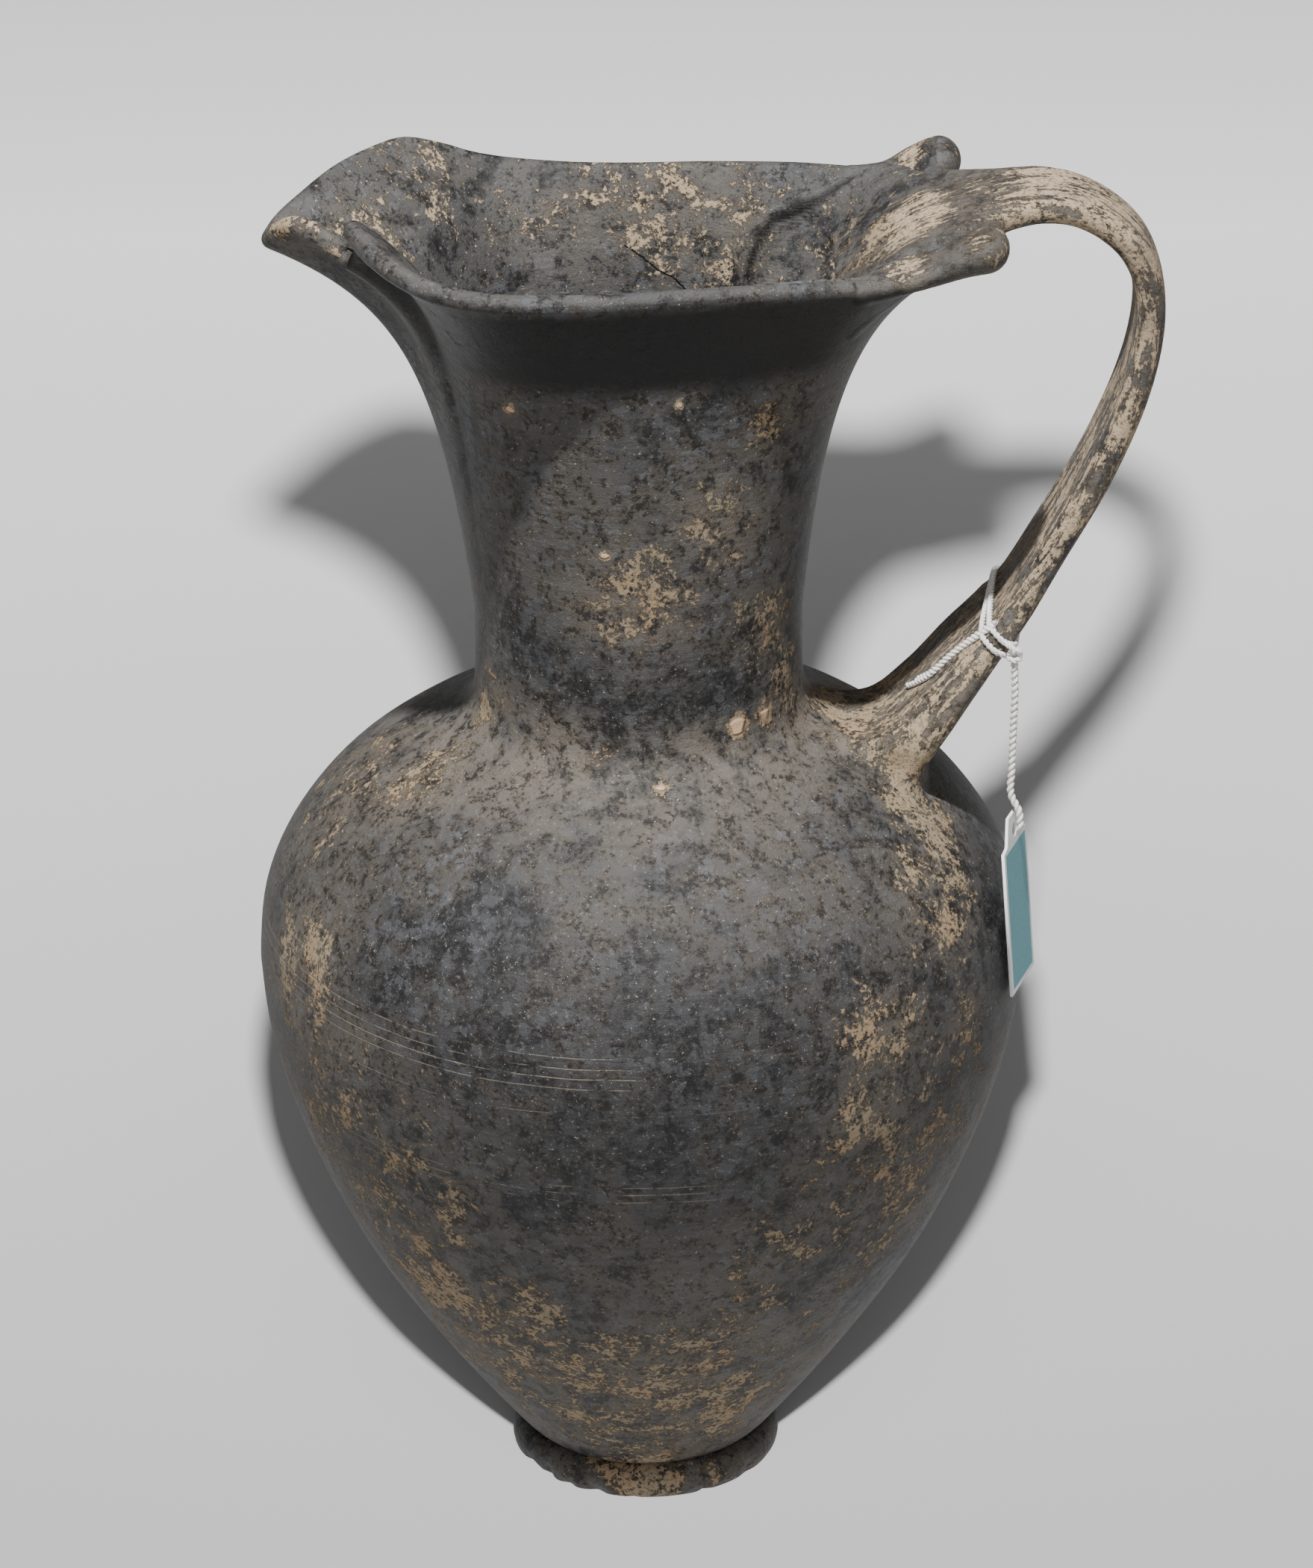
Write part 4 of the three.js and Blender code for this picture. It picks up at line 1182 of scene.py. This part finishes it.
def make_card():
    mesh = plain_mesh("card", in_scene("card_outline", card_outline()))
    flat = np.empty(len(mesh.vertices) * 3)
    mesh.vertices.foreach_get("co", flat)
    flat = flat.reshape(-1, 3)
    mesh.uv_layers.new(name="UVMap")
    for loop in mesh.loops:
        x, y = flat[loop.vertex_index, :2]
        mesh.uv_layers["UVMap"].data[loop.index].uv = (0.5 + x / TAG_LENGTH, y / TAG_LENGTH)
    place = flat + [0, 0, TAG_THICK / 2]
    against_belly = (BELLY_TOP[0] + CARD_GAP + TAG_THICK, TAG_SLIDE, BELLY_TOP[1] - CARD_DROP)
    turned = (Matrix.Rotation(math.radians(TAG_TURN), 4, "Z") @ Matrix.Translation(against_belly)
              @ Matrix.Rotation(math.pi / 2, 4, "Z")
              @ Matrix.Rotation(math.pi / 2 - math.radians(TAG_LEAN), 4, "X"))
    hung = place @ np.array(turned.to_3x3()).T + np.array(turned.translation)
    mesh.vertices.foreach_set("co", to_metres(hung).ravel())
    mesh.update()
    return in_scene("card", mesh)


# Camera: the photograph's own viewpoint, from the jug's axis
CAMERA_BACK = 1.71519
CAMERA_HIGH = 1.00332
PITCH = math.radians(25.4805)
YAW = math.radians(0.1362)
ROLL = math.radians(-0.48266)
FOCAL_PIXELS = 10253.7
PHOTO_HEIGHT = 2100
SENSOR = 36.0


def make_camera():
    data = bpy.data.cameras.new("camera")
    data.sensor_width = SENSOR
    data.lens = FOCAL_PIXELS / PHOTO_HEIGHT * SENSOR
    camera = in_scene("camera", data)
    ahead = Vector((math.sin(YAW) * math.cos(PITCH), math.cos(YAW) * math.cos(PITCH), -math.sin(PITCH)))
    right = ahead.cross(Vector((0, 0, 1))).normalized()
    up = right.cross(ahead)
    across = right * math.cos(ROLL) + up * math.sin(ROLL)
    above = up * math.cos(ROLL) - right * math.sin(ROLL)
    turn = Matrix((across, above, -ahead)).transposed().to_4x4()
    camera.matrix_world = Matrix.Translation((AXIS_X * MM, -CAMERA_BACK, CAMERA_HIGH)) @ turn
    bpy.context.scene.camera = camera


make_camera()
string_path = evenly(centripetal(STRING_LINE, 20), 60)
thread = thread_tree(cotton())
string = twisted("string", [string_path], thread, STRING, STRING_TURN)

wall, wall_vertices, wall_faces, wall_inside = make_wall()
foot = make_foot()
handle_field, handle_alone = grow_handle(wall_vertices, wall_faces)
handle = make_handle(handle_field, handle_alone, wall_vertices, wall_inside)
hitch = twisted("hitch", hitch_lines(handle_field), thread, HITCH_THREAD, HITCH_TURN)
card = make_card()

for piece in (wall, foot, handle):
    piece.data.materials.append(clay("burnished_" + piece.name))
card.data.materials.append(card_paper())
for piece, slot_name, nodes in ((wall, "clay_body", ("belly", "shoulder", "neck", "mouth")),
                                (foot, "clay_foot", ("foot_ring",)),
                                (handle, "clay_handle", ("handle_strap", "lappet_far", "lappet_near")),
                                (hitch, "tag_thread", ("tag_hitch",)),
                                (string, "tag_thread", ("tag_string",)),
                                (card, "tag_card", ("tag_card",))):
    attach(piece, "root")
    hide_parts(*nodes)

# Studio, in metres: lights on the jug from above and in front, a low one that throws its shadow behind.
# Lights: name, place from the jug's axis, size, power, aim
JUG_LIGHTS = [("overhead", (-0.12, -0.61, 1.81), 0.06, 76, (0, 0, 0.17)),
              ("front", (0, -1.9, 1.25), 0.5, 13.5, (0, 0, 0.17))]
FLOOR_LIGHTS = [("behind_shadow", (0, -1.45, 1.13), 0.055, 190, (0, 0, 0.17)),
                ("floor_fill", (0, -0.9, 0.5), 0.9, 14, (0, -0.1, 0))]
FLOOR_SIDE = 4.0
WORLD_LIGHT = 0.13

# Paper with painted light: grey in front, where the lights are near, and white behind, so that its colour
# makes the floor brighter further back; depths are millimetres
PAPER_PAINTED_SHADE_FRONT, PAPER_PAINTED_LIGHT_BACK = (0.10, 0.10, 0.10), (0.95, 0.95, 0.95)
PAPER_START, PAPER_REACH = 500, 1350


def make_lights(lights, pieces, group):
    """Lights that reach only the given pieces."""
    lit = bpy.data.collections.new(group)
    for piece in pieces:
        lit.objects.link(piece)
    for name, place, size, power, aim in lights:
        data = bpy.data.lights.new(name, "AREA")
        data.shape = "DISK"
        data.size = size
        data.energy = power
        lamp = in_scene(name, data)
        lamp.location = (AXIS_X * MM + place[0], place[1], place[2])
        lamp.rotation_euler = (Vector(aim) - lamp.location).to_track_quat("-Z", "Y").to_euler()
        lamp.light_linking.receiver_collection = lit


def make_floor():
    side = FLOOR_SIDE
    mesh = bpy.data.meshes.new("floor")
    mesh.from_pydata([(-side, -side, 0), (side, -side, 0), (side, side, 0), (-side, side, 0)], [],
                     [(0, 1, 2, 3)])
    floor = in_scene("floor", mesh)
    paper = Finish("pale_paper")
    _, depth, _ = paper.apart(paper.place)
    # Painted light: share of white in the paper, growing from the front to the back
    back = ((depth + PAPER_START) / PAPER_REACH).most(0.0).least(1.0) ** 2
    paper.set(Base_Color=paper.mix(back, PAPER_PAINTED_SHADE_FRONT, PAPER_PAINTED_LIGHT_BACK), Roughness=0.9)
    mesh.materials.append(paper.material)
    return floor


def make_world():
    world = bpy.data.worlds.new("studio")
    world.use_nodes = True
    background = world.node_tree.nodes["Background"]
    background.inputs["Color"].default_value = (1, 1, 1, 1)
    background.inputs["Strength"].default_value = WORLD_LIGHT
    bpy.context.scene.world = world


make_lights(JUG_LIGHTS, [wall, foot, handle, hitch, string, card], "lit_jug")
make_lights(FLOOR_LIGHTS, [make_floor()], "lit_floor")
make_world()
